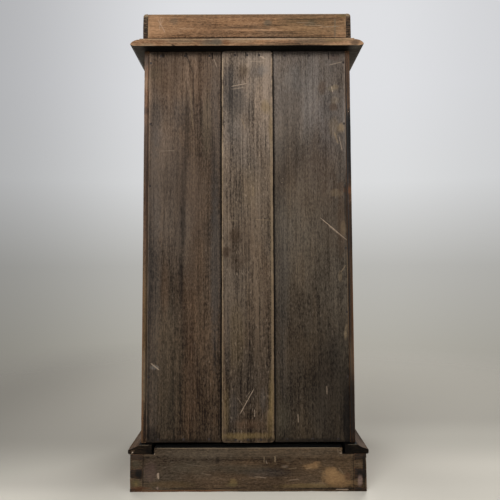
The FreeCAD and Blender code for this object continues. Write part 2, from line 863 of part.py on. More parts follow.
def make_glue_blocks():
    """Three-cornered blocks glued into the plinth's inside corners."""
    low, leg = d.glue_block_lift.value, d.glue_block_leg.value
    walls = (plinth_front + d.plinth_thickness, 1), (plinth_back - d.plinth_thickness, -1)
    shapes = []
    for side in (LEFT, RIGHT):
        x = side * plinth_inner.value
        for wall, inwards in walls:
            y = wall.value
            corners = [(x, y), (x - side * leg, y), (x, y + inwards * leg), (x, y)]
            outline = Part.makePolygon([FreeCAD.Vector(a, b, low) for a, b in corners])
            block = Part.Face(outline).extrude(FreeCAD.Vector(0, 0, d.glue_block_height.value))
            shapes.append(block)
    group("plinth_glue_blocks", shapes)


# The door.

door_depth = (face, door_back)
groove_run = (groove_front, groove_back)
tenon_levels = {
    "bottom": (door_low + d.tenon_shoulder, panel_low - d.groove_depth),
    "top": (panel_high + d.groove_depth, door_high - d.tenon_shoulder),
}


def make_stile(side, label):
    body = board(label, span(side, panel_half, door_half), door_depth, (door_low, door_high))
    groove_height = (panel_low - d.groove_depth, panel_high + d.groove_depth)
    cut_block(body, span(side, panel_half, panel_half + d.groove_depth), groove_run, groove_height)
    for level in tenon_levels.values():
        cut_block(body, span(side, panel_half, panel_half + d.tenon_length), groove_run, level)
    return body


def make_door_rails():
    levels = {"bottom": (door_low, panel_low), "top": (panel_high, door_high)}
    grooves = {
        "bottom": (panel_low - d.groove_depth, panel_low),
        "top": (panel_high, panel_high + d.groove_depth),
    }
    for name, level in levels.items():
        body = board(f"door_rail_{name}", both(panel_half), door_depth, level)
        cut_block(body, both(panel_half), groove_run, grooves[name])
        for side in (LEFT, RIGHT):
            add_block(body, span(side, panel_half, panel_half + d.tenon_length), groove_run, tenon_levels[name])


def make_door_panel():
    """A panel that lies loose in the grooves, with a bevelled field that stands up in the middle."""
    tongue = d.groove_depth - d.panel_end_play
    across, height = both(panel_half + tongue), (panel_low - tongue, panel_high + tongue)
    body = board("door_panel", across, (panel_front, groove_back - d.panel_play), height)
    foot = d.panel_moulding_width + d.panel_margin
    head = foot + d.panel_bevel
    field = face + d.panel_field_recess
    step = field + d.panel_field_step
    sections = []
    for inset, y in ((foot, panel_front), (head, step)):
        sketch = new_sketch(body, "XZ_Plane", -(y - origins[body.Name]["y"]))
        rectangle = box(both(panel_half - inset), (panel_low + inset, panel_high - inset))
        draw(sketch, [(x - across[0], z - height[0]) for x, z in rectangle])
        sections.append(sketch)
    bevel = body.newObject("PartDesign::AdditiveLoft", "bevel")
    bevel.Profile = sections[0]
    bevel.Sections = [sections[1]]
    bevel.Ruled = True
    body.Tip = bevel
    add_block(body, both(panel_half - head), (field, step), (panel_low + head, panel_high - head))


def strip_profile(edge, turn):
    """A panel moulding's section: square against the frame, rounded down to the panel."""
    inwards = 1 if turn == LEFT else -1
    wide, flat = d.panel_moulding_width, d.panel_moulding_flat
    top, toe = face + d.face_recess, panel_front - d.panel_moulding_toe
    radius = arc_radius(wide - flat, toe - top)
    return [
        (edge, panel_front),
        (edge, top),
        (edge + inwards * flat, top),
        (edge + inwards * wide, toe, radius, turn),
        (edge + inwards * wide, panel_front),
    ]


def make_panel_moulding():
    """Four mitred lengths round the panel, drawn as bodies and kept as one node."""
    wide = d.panel_moulding_width
    depth = (face, panel_front)
    uprights, levels = both(panel_half), (panel_low, panel_high)
    lengths = []
    for number, (x, turn) in enumerate(zip(uprights, (LEFT, RIGHT))):
        body = new_body(f"panel_moulding_upright_{number}", (min_of(x, x - side_of(x) * wide), face, panel_low))
        extrude(body, "XY_Plane", strip_profile(x, turn), levels)
        for z, away in zip(levels, (1, -1)):
            waste = [(x, z), (x - side_of(x) * wide, z + away * wide), (x - side_of(x) * wide, z)]
            extrude(body, "XZ_Plane", waste, depth, "Pocket")
        lengths.append(body)
    for number, (z, away) in enumerate(zip(levels, (1, -1))):
        corner_z = z if away > 0 else z - wide
        body = new_body(f"panel_moulding_level_{number}", (-panel_half, face, corner_z))
        section = strip_profile(z, LEFT if away > 0 else RIGHT)
        extrude(body, "YZ_Plane", [(y, height, *rest) for height, y, *rest in flipped(section)], both(panel_half))
        for x in uprights:
            waste = [(x, z), (x - side_of(x) * wide, z + away * wide), (x, z + away * wide)]
            extrude(body, "XZ_Plane", waste, depth, "Pocket")
        lengths.append(body)
    for body in lengths:
        del nodes[body.Label]
    node = document.addObject("Part::Compound", "door_panel_moulding")
    node.Label = "door_panel_moulding"
    node.Links = lengths
    nodes[node.Label] = node


def side_of(place):
    """Which side of the cupboard a place lies on."""
    return RIGHT if place.value > 0 else LEFT


def arc_radius(run, rise):
    """The radius of the arc that leaves its run at right angles to its rise."""
    return (run * run + rise * rise) / (2 * rise)


def min_of(first, second):
    """The lower of two places."""
    return first if first.value < second.value else second


def flipped(section):
    """A section whose two axes will be swapped, so that each arc turns the other way."""
    return [(x, y) if not rest else (x, y, rest[0], -rest[1]) for x, y, *rest in section]


# The hinges.


def knuckle_levels(centre, numbers):
    """The heights of some of a hinge's knuckles, with a small gap between neighbours."""
    pitch = d.hinge_height / HINGE_KNUCKLES
    low = centre - d.hinge_height / 2
    return [(low + pitch * n + d.knuckle_gap / 2, low + pitch * (n + 1) - d.knuckle_gap / 2) for n in numbers]


def screw_levels(centre):
    return [centre + d.screw_spread * step for step in (-1, 0, 1)]


screw_y = front + d.leaf_width / 2
leaf_faces = {"case": -inner, "door": -door_half}
leaf_ways = {"case": 1, "door": -1}


def make_hinge_leaf(owner, name, centre, numbers):
    """One leaf of a butt hinge: a plate let into the wood, and its share of the knuckles round the pin."""
    surface, outwards = leaf_faces[owner], leaf_ways[owner]
    plate = (surface - d.leaf_thickness, surface) if outwards > 0 else (surface, surface + d.leaf_thickness)
    start = pin_y + d.knuckle_radius + d.knuckle_gap
    body = board(f"hinge_leaf_{owner}_{name}", plate, (start, leaf_back), about(centre, d.hinge_height))
    for level in knuckle_levels(centre, numbers):
        add_block(body, plate, (pin_y, start), level)
        rod(body, "XY_Plane", (pin_x, pin_y), d.knuckle_radius, level)
    bore = about(centre, d.hinge_height)
    rod(body, "XY_Plane", (pin_x, pin_y), d.pin_radius + d.pin_clearance, bore, "Pocket")
    for z in screw_levels(centre):
        rod(body, "YZ_Plane", (screw_y, z), d.screw_radius, plate, "Pocket")
        countersink(body, (surface, screw_y, z), outwards)


def make_hinge_pin(name, centre):
    """A pin with a small cap at each end, turned about its own axis."""
    reach = d.hinge_height / 2
    end = reach + d.pin_cap_height
    body = new_body(f"hinge_pin_{name}", (pin_x, pin_y, centre))
    sketch = new_sketch(body, "XZ_Plane", as_size(0))
    axis = as_size(0)
    outline = [
        (axis, -end),
        (d.pin_radius, -end),
        (d.pin_cap_radius, -reach - d.knuckle_gap - d.pin_cap_height / 2),
        (d.pin_cap_radius, -reach - d.knuckle_gap),
        (d.pin_radius, -reach - d.knuckle_gap),
        (d.pin_radius, reach + d.knuckle_gap),
        (d.pin_cap_radius, reach + d.knuckle_gap),
        (d.pin_cap_radius, reach + d.knuckle_gap + d.pin_cap_height / 2),
        (d.pin_radius, end),
        (axis, end),
    ]
    draw(sketch, outline)
    revolve(body, sketch, "V_Axis")


def revolve(body, sketch, axis):
    """Turns a sketch all the way round one of its own axes."""
    feature = body.newObject("PartDesign::Revolution", "turning")
    feature.Profile = sketch
    feature.ReferenceAxis = (sketch, [axis])
    feature.Angle = 360
    body.Tip = feature


def make_hinges():
    for name, centre in hinge_centres.items():
        make_hinge_leaf("case", name, centre, range(0, HINGE_KNUCKLES, 2))
        make_hinge_leaf("door", name, centre, range(1, HINGE_KNUCKLES, 2))
        make_hinge_pin(name, centre)
    for owner, surface in leaf_faces.items():
        group(f"hinge_screws_{owner}", [wood_screw(owner, surface, z) for z in all_screw_levels()])


def all_screw_levels():
    return [z for centre in hinge_centres.values() for z in screw_levels(centre)]


def wood_screw(owner, surface, z):
    """A countersunk screw along X, its head level with the leaf's face."""
    head, shank = d.screw_head_radius.value, d.screw_radius.value
    place = FreeCAD.Vector(surface.value, screw_y.value, z.value)
    way = FreeCAD.Vector(-leaf_ways[owner], 0, 0)
    cone = Part.makeCone(head, shank, head - shank, place, way)
    return cone.fuse(Part.makeCylinder(shank, d.screw_length.value, place, way)).removeSplitter()


# Knobs, the latch and what it closes against.


def make_knob(label, x, z):
    """A turned wooden knob, hollow where its spindle goes in, turned about its own axis."""
    body = new_body(label, (x, face, z))
    sketch = new_sketch(body, "YZ_Plane", as_size(0))
    centre = as_size(0)
    foot, tip, bore = -d.knob_play, -d.knob_length, -d.knob_bore_depth
    collar = foot - d.knob_collar_height
    shoulder, crown = tip * KNOB_SHOULDER, tip * KNOB_CROWN
    shoulder_radius = d.knob_radius * KNOB_SHOULDER_WIDTH
    rim_radius = d.knob_radius * KNOB_RIM
    rim = crown - rim_radius * math.sin(KNOB_RIM_TURN)
    rim_width = d.knob_radius - rim_radius * (1 - math.cos(KNOB_RIM_TURN))
    outline = [
        (bore, centre),
        (bore, d.spindle_radius),
        (foot, d.spindle_radius),
        (foot, d.knob_collar_radius),
        (collar, d.knob_collar_radius),
        (collar, d.knob_collar_radius - d.knob_collar_step),
        (shoulder, shoulder_radius, (collar - shoulder) * KNOB_NECK, RIGHT),
        (crown, d.knob_radius, arc_radius(shoulder - crown, d.knob_radius - shoulder_radius), LEFT),
        (rim, rim_width, rim_radius, LEFT),
        (tip, centre, arc_radius(rim_width, rim - tip), LEFT),
    ]
    draw(sketch, outline)
    revolve(body, sketch, "H_Axis")


def make_latch():
    make_knob("latch_knob", latch_x, latch_z)
    body = new_body("latch_spindle", (latch_x, face, latch_z))
    rod(body, "XZ_Plane", (latch_x, latch_z), d.spindle_radius, (face - d.knob_bore_depth, tongue_back))

    low = latch_z - d.tongue_length
    wide = d.tongue_width / 2
    body = new_body("latch_tongue", (latch_x - wide, tongue_front, low))
    outline = [
        (latch_x - wide, low + d.tongue_thickness),
        (latch_x - wide + d.tongue_thickness, low),
        (latch_x + wide - d.tongue_thickness, low),
        (latch_x + wide, low + d.tongue_thickness),
        (latch_x + wide, latch_z),
        (latch_x, latch_z + wide, wide, LEFT),
        (latch_x - wide, latch_z, wide, LEFT),
    ]
    depth = (tongue_front, tongue_back)
    extrude(body, "XZ_Plane", outline, depth)
    rod(body, "XZ_Plane", (latch_x, latch_z), d.spindle_radius, depth, "Pocket")

    across = (inner - d.door_stop_width, inner)
    board("door_stop_strip", across, (stop_front, stop_back), (floor_top, divider_under))
    board("latch_keeper", across, (stop_back, keeper_back), about(latch_z, d.keeper_height))


# The drawer.


def drawer_tail(root, way, length, number):
    """One dovetail on a drawer side's end, seen from the side."""
    height = drawer_side_high - drawer_side_low
    centre = drawer_side_low + height * (2 * number + 1) / (2 * DRAWER_TAILS)
    narrow, wide = d.drawer_tail_root / 2, d.drawer_tail_root / 2 + d.drawer_tail_flare
    tip = root + way * length
    return [(root, centre - narrow), (tip, centre - wide), (tip, centre + wide), (root, centre + narrow)]


def drawer_tails():
    """Every dovetail outline of a drawer side, by the end that it is on."""
    ends = {
        "front": (drawer_inside, -1, d.drawer_lap_length),
        "back": (drawer_back_front, 1, d.drawer_side_thickness),
    }
    return {end: [drawer_tail(*root, n) for n in range(DRAWER_TAILS)] for end, root in ends.items()}


def make_drawer():
    tails = drawer_tails()
    groove_height = (drawer_groove_low, drawer_groove_high)
    groove_reach = drawer_inner + d.drawer_groove_depth

    height = (drawer_front_low, drawer_front_high)
    body = board("drawer_front", both(door_half), (face, drawer_inside), height)
    groove_y = (drawer_inside - d.drawer_groove_depth, drawer_inside)
    cut_block(body, both(drawer_inner), groove_y, groove_height)
    screw_radius = d.spindle_radius + d.spindle_clearance
    rod(body, "XZ_Plane", (as_size(0), drawer_knob_z), screw_radius, (face, drawer_inside), "Pocket")
    for side in (LEFT, RIGHT):
        for outline in tails["front"]:
            extrude(body, "YZ_Plane", outline, span(side, drawer_inner, door_half), "Pocket")

    for side, name in ((LEFT, "left"), (RIGHT, "right")):
        across = span(side, drawer_inner, door_half)
        levels = (drawer_side_low, drawer_side_high)
        body = board(f"drawer_side_{name}", across, (drawer_inside, drawer_back_front), levels)
        for outline in tails["front"] + tails["back"]:
            extrude(body, "YZ_Plane", outline, across)
        groove = span(side, drawer_inner, groove_reach)
        cut_block(body, groove, (drawer_inside, drawer_rear), groove_height)

    levels = (drawer_groove_high, drawer_side_high - d.drawer_back_top_gap)
    body = board("drawer_back", both(door_half), (drawer_back_front, drawer_rear), levels)
    for side in (LEFT, RIGHT):
        for outline in tails["back"]:
            extrude(body, "YZ_Plane", outline, span(side, drawer_inner, door_half), "Pocket")

    sheet_z = (drawer_groove_low + d.drawer_bottom_play, drawer_groove_high - d.drawer_bottom_play)
    reach = groove_reach - d.drawer_bottom_play
    body = board("drawer_bottom", both(reach), (drawer_inside, drawer_rear), sheet_z)
    lip = (groove_y[0] + d.drawer_bottom_play, drawer_inside)
    add_block(body, both(drawer_inner - d.drawer_bottom_play), lip, sheet_z)

    make_knob("drawer_knob", as_size(0), drawer_knob_z)
    head_end = drawer_inside + d.knob_screw_head_height
    body = new_body("drawer_knob_screw", (as_size(0), face, drawer_knob_z))
    centre = (as_size(0), drawer_knob_z)
    rod(body, "XZ_Plane", centre, d.spindle_radius, (face - d.knob_bore_depth, drawer_inside))
    rod(body, "XZ_Plane", centre, d.knob_screw_head_radius, (drawer_inside, head_end))


def make_cupboard():
    make_top()
    make_gallery()
    make_side_panel(LEFT, "left")
    make_side_panel(RIGHT, "right")
    make_top_rails()
    make_top_screws()
    housed_board("bottom_board", (front, back_inside), (base, floor_top))
    housed_board("drawer_divider_rail", (front, front + d.divider_width), (divider_under, divider_top))
    make_runners()
    make_shelf()
    make_back_boards()
    make_back_nails()
    make_plinth()
    make_moulding()
    make_glue_blocks()
    hinge_stile = make_stile(LEFT, "door_stile_hinge")
    for centre in hinge_centres.values():
        recess = (-door_half, -door_half + d.leaf_thickness)
        cut_block(hinge_stile, recess, (face, leaf_back), about(centre, d.hinge_height))
    latch_stile = make_stile(RIGHT, "door_stile_latch")
    hole = d.spindle_radius + d.spindle_clearance
    rod(latch_stile, "XZ_Plane", (latch_x, latch_z), hole, door_depth, "Pocket")
    make_door_rails()
    make_door_panel()
    make_panel_moulding()
    make_hinges()
    make_latch()
    make_drawer()


def check_model():
    """Stops on a failed feature, on a cut that takes nothing away, or on a bad shape."""
    for item in document.Objects:
        if "Invalid" in item.State or "Error" in item.State:
            raise RuntimeError(f"{item.Label} has failed: {item.State}")
        if item.TypeId in ("PartDesign::Pocket", "PartDesign::SubtractiveCone"):
            if item.Shape.Volume >= item.BaseFeature.Shape.Volume:
                raise RuntimeError(f"{item.Label} cuts nothing from {item.BaseFeature.Label}")
    for label, node in nodes.items():
        if node.Shape.isNull() or not node.Shape.isValid() or not node.Shape.Solids:
            raise RuntimeError(f"{label} has no sound shape")


make_cupboard()
document.recompute()
check_model()
os.makedirs("parts", exist_ok=True)
for label, node in nodes.items():
    node.Shape.exportStep(f"parts/{label}.step")
print(len(nodes), "nodes written")
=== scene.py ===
import math

import bmesh
import bpy
from mathutils import Euler, Matrix, Vector, noise


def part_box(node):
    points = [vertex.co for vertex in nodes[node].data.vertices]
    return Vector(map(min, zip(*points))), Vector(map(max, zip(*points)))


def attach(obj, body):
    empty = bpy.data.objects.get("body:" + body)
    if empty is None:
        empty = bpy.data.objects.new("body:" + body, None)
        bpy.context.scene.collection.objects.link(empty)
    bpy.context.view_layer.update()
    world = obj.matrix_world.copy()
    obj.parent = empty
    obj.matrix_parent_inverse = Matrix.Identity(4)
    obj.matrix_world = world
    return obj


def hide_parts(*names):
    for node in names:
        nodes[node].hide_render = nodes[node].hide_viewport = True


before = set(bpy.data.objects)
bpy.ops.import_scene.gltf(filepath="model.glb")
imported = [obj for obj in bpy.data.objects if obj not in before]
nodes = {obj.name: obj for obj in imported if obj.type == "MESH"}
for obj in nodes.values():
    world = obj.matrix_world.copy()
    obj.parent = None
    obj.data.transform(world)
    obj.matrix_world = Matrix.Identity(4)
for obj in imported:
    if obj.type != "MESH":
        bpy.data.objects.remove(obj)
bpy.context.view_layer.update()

MM = 0.001


# Tools for making materials.


def linear(red, green, blue):
    """A display colour, 0 to 255, as the light values that shaders take."""
    parts = [value / 255 for value in (red, green, blue)]
    return (*[part / 12.92 if part <= 0.04045 else ((part + 0.055) / 1.055) ** 2.4 for part in parts], 1.0)


class Shader:
    """A material under construction. Every value may be a number, a colour or another node's socket."""

    def __init__(self, tree):
        self.tree = tree

    def node(self, kind, values=(), **settings):
        made = self.tree.nodes.new(kind)
        for name, setting in settings.items():
            setattr(made, name, setting)
        for key, value in dict(values).items():
            if isinstance(value, bpy.types.NodeSocket):
                self.tree.links.new(value, made.inputs[key])
            else:
                made.inputs[key].default_value = value
        return made

    def maths(self, operation, *values, clamp=False):
        return self.node("ShaderNodeMath", enumerate(values), operation=operation, use_clamp=clamp).outputs[0]

    def added(self, *values):
        total = values[0]
        for value in values[1:]:
            total = self.maths("ADD", total, value)
        return total

    def times(self, *values):
        total = values[0]
        for value in values[1:]:
            total = self.maths("MULTIPLY", total, value)
        return total

    def minus(self, first, second):
        return self.maths("SUBTRACT", first, second)

    def vector(self, operation, *values):
        made = self.node("ShaderNodeVectorMath", enumerate(values), operation=operation)
        return made.outputs["Value" if operation in ("LENGTH", "DOT_PRODUCT") else "Vector"]

    def scaled(self, place, factor):
        return self.node("ShaderNodeVectorMath", {0: place, 3: factor}, operation="SCALE").outputs[0]

    def noise(self, place, scale, detail=3.0, roughness=0.55, distortion=0.0):
        values = {"Vector": place, "Scale": scale, "Detail": detail, "Roughness": roughness, "Distortion": distortion}
        return self.node("ShaderNodeTexNoise", values).outputs[0]

    def ramp(self, value, low, high, start=0.0, end=1.0):
        """Goes smoothly from start to end while a value goes from low to high."""
        values = {0: value, 1: low, 2: high, 3: start, 4: end}
        return self.node("ShaderNodeMapRange", values, interpolation_type="SMOOTHSTEP").outputs[0]

    def mix(self, factor, first, second, blend="MIX"):
        values = {0: factor, 6: first, 7: second}
        return self.node("ShaderNodeMix", values, data_type="RGBA", blend_type=blend).outputs[2]

    def shaded(self, colour, shade):
        """A colour made darker or lighter by one factor."""
        return self.mix(1.0, colour, self.joined(shade, shade, shade), "MULTIPLY")

    def parts(self, place):
        return self.node("ShaderNodeSeparateXYZ", {0: place}).outputs

    def joined(self, x, y, z):
        return self.node("ShaderNodeCombineXYZ", {0: x, 1: y, 2: z}).outputs[0]


def emptied(owner):
    """A shader that writes into a material or world, from which the default nodes have gone."""
    owner.use_nodes = True
    owner.node_tree.nodes.clear()
    return Shader(owner.node_tree)


def make_group(name, inputs, build):
    """A node group with the given inputs and one output, filled in by build."""
    tree = bpy.data.node_groups.new(name, "ShaderNodeTree")
    for label, kind in inputs:
        tree.interface.new_socket(label, in_out="INPUT", socket_type=kind)
    tree.interface.new_socket("Mask", in_out="OUTPUT", socket_type="NodeSocketFloat")
    shader = Shader(tree)
    given = shader.node("NodeGroupInput").outputs
    shader.node("NodeGroupOutput", {0: build(shader, given)})
    return tree


# How the masks of strokes and patches are made: the scale of their ragged edges, and how they taper and fade.
STROKE_GRAIN = 420.0
STROKE_TAPER = (0.0, 0.12, 0.35, 1.0)
STROKE_ROUGH = (0.3, 0.6, 0.55, 1.25)
STROKE_FADE = (0.25, 1.0)
PATCH_GRAIN = 110.0
PATCH_RAGGED = 1.3
PATCH_FADE = (1.05, 1.95)


def stroke_mask(shader, given):
    """How much a point belongs to a scratch or crack between two ends."""
    place, start, end, width = given[0], given[1], given[2], given[3]
    along = shader.vector("SUBTRACT", end, start)
    offset = shader.vector("SUBTRACT", place, start)
    length = shader.vector("DOT_PRODUCT", along, along)
    share = shader.maths("DIVIDE", shader.vector("DOT_PRODUCT", offset, along), length, clamp=True)
    away = shader.vector("LENGTH", shader.vector("SUBTRACT", offset, shader.scaled(along, share)))
    taper = shader.ramp(shader.times(share, shader.minus(1.0, share)), *STROKE_TAPER)
    rough = shader.ramp(shader.noise(place, STROKE_GRAIN, 2.0), *STROKE_ROUGH)
    reach = shader.times(width, shader.times(taper, rough))
    return shader.minus(1.0, shader.ramp(shader.maths("DIVIDE", away, reach), *STROKE_FADE))


def patch_mask(shader, given):
    """How much a point belongs to a stain with a ragged edge."""
    place, centre, radius = given[0], given[1], given[2]
    offset = shader.vector("DIVIDE", shader.vector("SUBTRACT", place, centre), radius)
    ragged = shader.times(shader.noise(place, PATCH_GRAIN, 5.0, 0.65), PATCH_RAGGED)
    away = shader.added(shader.vector("LENGTH", offset), ragged)
    return shader.minus(1.0, shader.ramp(away, *PATCH_FADE))


VECTOR, FLOAT = "NodeSocketVector", "NodeSocketFloat"
STROKE = make_group("stroke", [("Place", VECTOR), ("Start", VECTOR), ("End", VECTOR), ("Width", FLOAT)], stroke_mask)
PATCH = make_group("patch", [("Place", VECTOR), ("Centre", VECTOR), ("Radius", VECTOR)], patch_mask)


# The colours of stains, scratches and dirt, as they show in plain light, also used for painted shadows and
# highlights, and the tints of the wood.

WHITE = (1.0, 1.0, 1.0, 1.0)
BLACK = linear(8, 6, 5)
# Holes and cracks, and also painted shadows.
HOLE_AND_SHADOW = linear(14, 10, 8)
# Painted shade in gaps and on inward faces.
GAP_SHADE = linear(5, 4, 3)
# Painted shadow under the top.
UNDER_SHADOW = linear(10, 8, 6)
PALE = linear(168, 148, 128)
TAN = linear(140, 120, 94)
GOLD = linear(118, 98, 64)
STONE = linear(96, 86, 72)
RUSSET = linear(96, 70, 50)
PINK = linear(160, 134, 124)
PLUM = linear(90, 72, 64)
COLD = linear(73, 69, 66)
MIST = linear(116, 110, 104)
MOSS = linear(80, 72, 58)
OLIVE = linear(92, 82, 54)
# Also painted highlights on lit arrises.
GREIGE_AND_HIGHLIGHT = linear(124, 112, 94)
BUFF = linear(160, 124, 92)
AMBER = linear(148, 116, 80)
UMBER = linear(82, 64, 49)
# Also a painted shadow under the top, on a lip.
EARTH_AND_SHADOW = linear(56, 40, 26)
RUST = linear(112, 70, 40)
ASHEN = linear(112, 106, 100)
WARM_TINT = (1.12, 0.98, 0.80, 1.0)
COOL_TINT = (0.90, 1.0, 1.12, 1.0)


class Finish:
    """How one kind of wood looks.

    Its tones run from dark to light; end is its end grain, and ending how much of the light tone that has. The
    weights of figure, ticks, speck and cloud push the tone up and down. Hues, grey, pits and flecks tint and
    spot it, and wear is what its edges wear to, as far as worn says.
    """

    def __init__(self, dark, light, end=(30, 24, 20), rough=0.8, relief=0.5, figure=0.45, ticks=0.5, cloud=0.5,
                 hues=0.8, grey=0.0, pits=0.5, flecks=0.0, ending=0.3, wear=(150, 126, 100), worn=0.35, gloss=0.12,
                 speck=0.2):
        self.dark, self.light, self.end, self.wear = linear(*dark), linear(*light), linear(*end), linear(*wear)
        self.rough, self.relief, self.gloss = rough, relief, gloss
        self.figure, self.ticks, self.cloud, self.speck = figure, ticks, cloud, speck
        self.hues, self.grey, self.pits, self.flecks = hues, grey, pits, flecks
        self.ending, self.worn = ending, worn


# Each layer of the grain: its scale along the grain against across, then its noise's scale, detail, roughness and
# distortion.
LAYERS = {
    "figure": (0.035, 90.0, 4.0, 0.6, 0.2), "fibre": (0.022, 430.0, 2.0, 0.6), "ticks": (0.30, 560.0, 2.0, 0.6),
    "speckle": (0.8, 400.0, 2.0), "cloud": (0.40, 14.0, 2.5, 0.5, 0.5), "hue": (0.30, 19.0, 4.0, 0.6, 0.3),
    "pores": (0.10, 620.0, 2.0), "haze": (0.5, 8.0, 3.0), "flecks": (0.25, 420.0, 2.0),
}
# Between which values of its noise a layer starts to show and shows fully.
SHOWS = {"hue": (0.36, 0.64), "haze": (0.45, 0.68), "pores": (0.60, 0.72), "flecks": (0.60, 0.74)}
EDGE_SHOWS, RINGS_SHOW, METAL_SHOWS = (0.38, 0.62), (0.35, 0.7), (0.36, 0.66)

LEAN = 2.6  # how strongly a layer pushes the tone
FIBRE_SHARE = 0.8  # the fibre's weight beside the figure's
SEED_SHIFT = (1.37, 2.11, 3.73)  # how far one board's grain lies from the next one's
WANDER_SCALE, WANDER = 9.0, 0.008  # how the grain wanders: its scale, and how far in metres
EDGE_REACH = (0.0006, 0.0042)  # where an edge's wear starts to fade and where it ends, in metres
EDGE_GRAIN, END_GRAIN = 90.0, 130.0
FIGURE_RELIEF, PIT_RELIEF, HOLE_RELIEF = 0.7, 0.7, 2.5
PATCH_DARKENING = 0.45  # how much darker a patch is where the wood is dark
ROUGH_SPREAD = 0.1  # how much rougher the dark wood is, and how much smoother the light
BUMP_DEPTH, METAL_BUMP_DEPTH = 0.0006, 0.0002
TARNISH_METAL, TARNISH_ROUGH = 0.5, 0.35

# How far a face has to turn: to the back for marks, along the grain for end grain, and so on.
REAR_FACING = (0.3, 0.7)
END_FACING = (0.6, 0.85)
UNDER_FACING = (-0.7, -0.4)
LEVEL_FACING = (0.8, 0.95)
INNER_FACING = (-0.9, -0.6)

# Towards the floor the back's grain gets stronger and its tone darker. Higher up it has painted light.
FOOT_GRIT = (0.05, 0.60, 1.6, 1.0)
FOOT_SHADE = (0.04, 0.70)
FOOT_PAINTED_SHADING = (0.48, 0.64)
FOOT_WOBBLE = 0.2

# Painted shadow on the top's underside: near black between the sides at its back edge, darker towards that edge.
SHADOW_LINE = (0.13, 0.15)
SHADOW_SIDES = (0.170, 0.186, 1.0, 0.0)
UNDER_SHADOW_DEPTH = (0.02, 0.186, 1.0, 0.55)


def grain_place(shader, place, grain, seed, box):
    """The point with the grain along Z, wandering a little and moved so that no two boards are alike.

    The grain of a mitred frame follows each of its four sides.
    """
    x, y, z = shader.parts(place)
    order = {"x": (z, y, x), "y": (x, z, y)}.get(grain, (x, y, z))
    turned = shader.joined(*order)
    if grain == "mitred":
        across, upright = [
            shader.minus((high - low) / 2, shader.maths("ABSOLUTE", shader.minus(value, (high + low) / 2)))
            for value, low, high in ((x, box[0][0], box[1][0]), (z, box[0][2], box[1][2]))]
        level = shader.maths("LESS_THAN", upright, across)
        values = {0: level, 4: turned, 5: shader.joined(z, y, x)}
        turned = shader.node("ShaderNodeMix", values, data_type="VECTOR").outputs[1]
    moved = shader.vector("ADD", turned, tuple(seed * part for part in SEED_SHIFT))
    wander = shader.noise(shader.vector("MULTIPLY", moved, (1.0, 1.0, 0.3)), WANDER_SCALE, 2.0)
    bend = shader.times(shader.minus(wander, 0.5), WANDER)
    return shader.vector("ADD", moved, shader.joined(bend, bend, 0.0))


def edge_distance(shader, place, box):
    """How far a point on the surface lies from the nearest long edge of its board."""
    low, high = box
    spans = []
    for axis, value in enumerate(shader.parts(place)[:3]):
        below, above = shader.minus(value, low[axis]), shader.minus(high[axis], value)
        spans.append(shader.maths("MINIMUM", below, above))
    small = shader.maths("MINIMUM", spans[0], spans[1])
    large = shader.maths("MAXIMUM", spans[0], spans[1])
    return shader.maths("MAXIMUM", small, shader.maths("MINIMUM", large, spans[2]))


def leaning(shader, value, weight):
    """A noise value as a push up or down round nought."""
    return shader.times(shader.minus(value, 0.5), weight * LEAN)


def footed(shader, colour, foot, place, haze, rear):
    """The back's colour, tinted and darkened towards the floor, and with painted shading higher up."""
    shade, painted_top_shading = foot
    height = shader.added(shader.parts(place)[2], shader.times(shader.minus(haze, 0.5), FOOT_WOBBLE))
    low = shader.mix(shader.ramp(height, *FOOT_SHADE), (*shade, 1.0), WHITE)
    high = shader.mix(shader.ramp(height, *FOOT_PAINTED_SHADING), WHITE, (*painted_top_shading, 1.0))
    return shader.mix(rear, colour, shader.vector("MULTIPLY", low, high), "MULTIPLY")


def undersided(shader, colour, under, place, upward, tone):
    """The colour, with the underside between two tones of its own, and painted shadow towards its back edge."""
    x, y = shader.parts(place)[:2]
    shadowed = shader.times(shader.ramp(y, *SHADOW_LINE), shader.ramp(shader.maths("ABSOLUTE", x), *SHADOW_SIDES))
    below = shader.mix(tone, linear(*under[0]), linear(*under[1]))
    below = shader.mix(shadowed, shader.shaded(below, shader.ramp(y, *UNDER_SHADOW_DEPTH)), UNDER_SHADOW)
    return shader.mix(shader.ramp(upward, *UNDER_FACING, 1.0, 0.0), colour, below)


def gap_shaded(shader, colour, over, place, normal, upward):
    """The colour with painted shade on level faces above a height, and on faces turned towards the middle."""
    height = shader.parts(place)[2]
    level = shader.times(shader.ramp(height, over - MM, over), shader.ramp(upward, *LEVEL_FACING))
    outward = shader.times(shader.parts(normal)[0], shader.maths("SIGN", shader.parts(place)[0]))
    inner = shader.ramp(outward, *INNER_FACING, 1.0, 0.0)
    return shader.mix(shader.maths("MAXIMUM", level, inner), colour, GAP_SHADE)


def at(x, z):
    """A place on the back, given in millimetres."""
    return (x * MM, 0.0, z * MM)


def marked(shader, colour, depth, marks, place, tone, rear):
    """The colour and relief with strokes and patches on the rear face, each over the ones before it."""
    flat = shader.vector("MULTIPLY", place, (1.0, 0.0, 1.0))
    for kind, first, second, size, ink, strength in marks:
        if kind == "stroke":
            values = {0: flat, 1: at(*first), 2: at(*second), 3: size * MM}
            mask = shader.node("ShaderNodeGroup", values, node_tree=STROKE).outputs[0]
        else:
            values = {0: flat, 1: at(*first), 2: (second[0] * MM, 1.0, second[1] * MM)}
            mask = shader.node("ShaderNodeGroup", values, node_tree=PATCH).outputs[0]
        mask = shader.times(mask, rear)
        if kind == "patch":
            ink = shader.mix(tone, shader.mix(PATCH_DARKENING, ink, BLACK), ink)
        elif ink is HOLE_AND_SHADOW:
            depth = shader.minus(depth, shader.times(mask, HOLE_RELIEF))
        colour = shader.mix(shader.times(mask, strength), colour, ink)
    return colour, depth


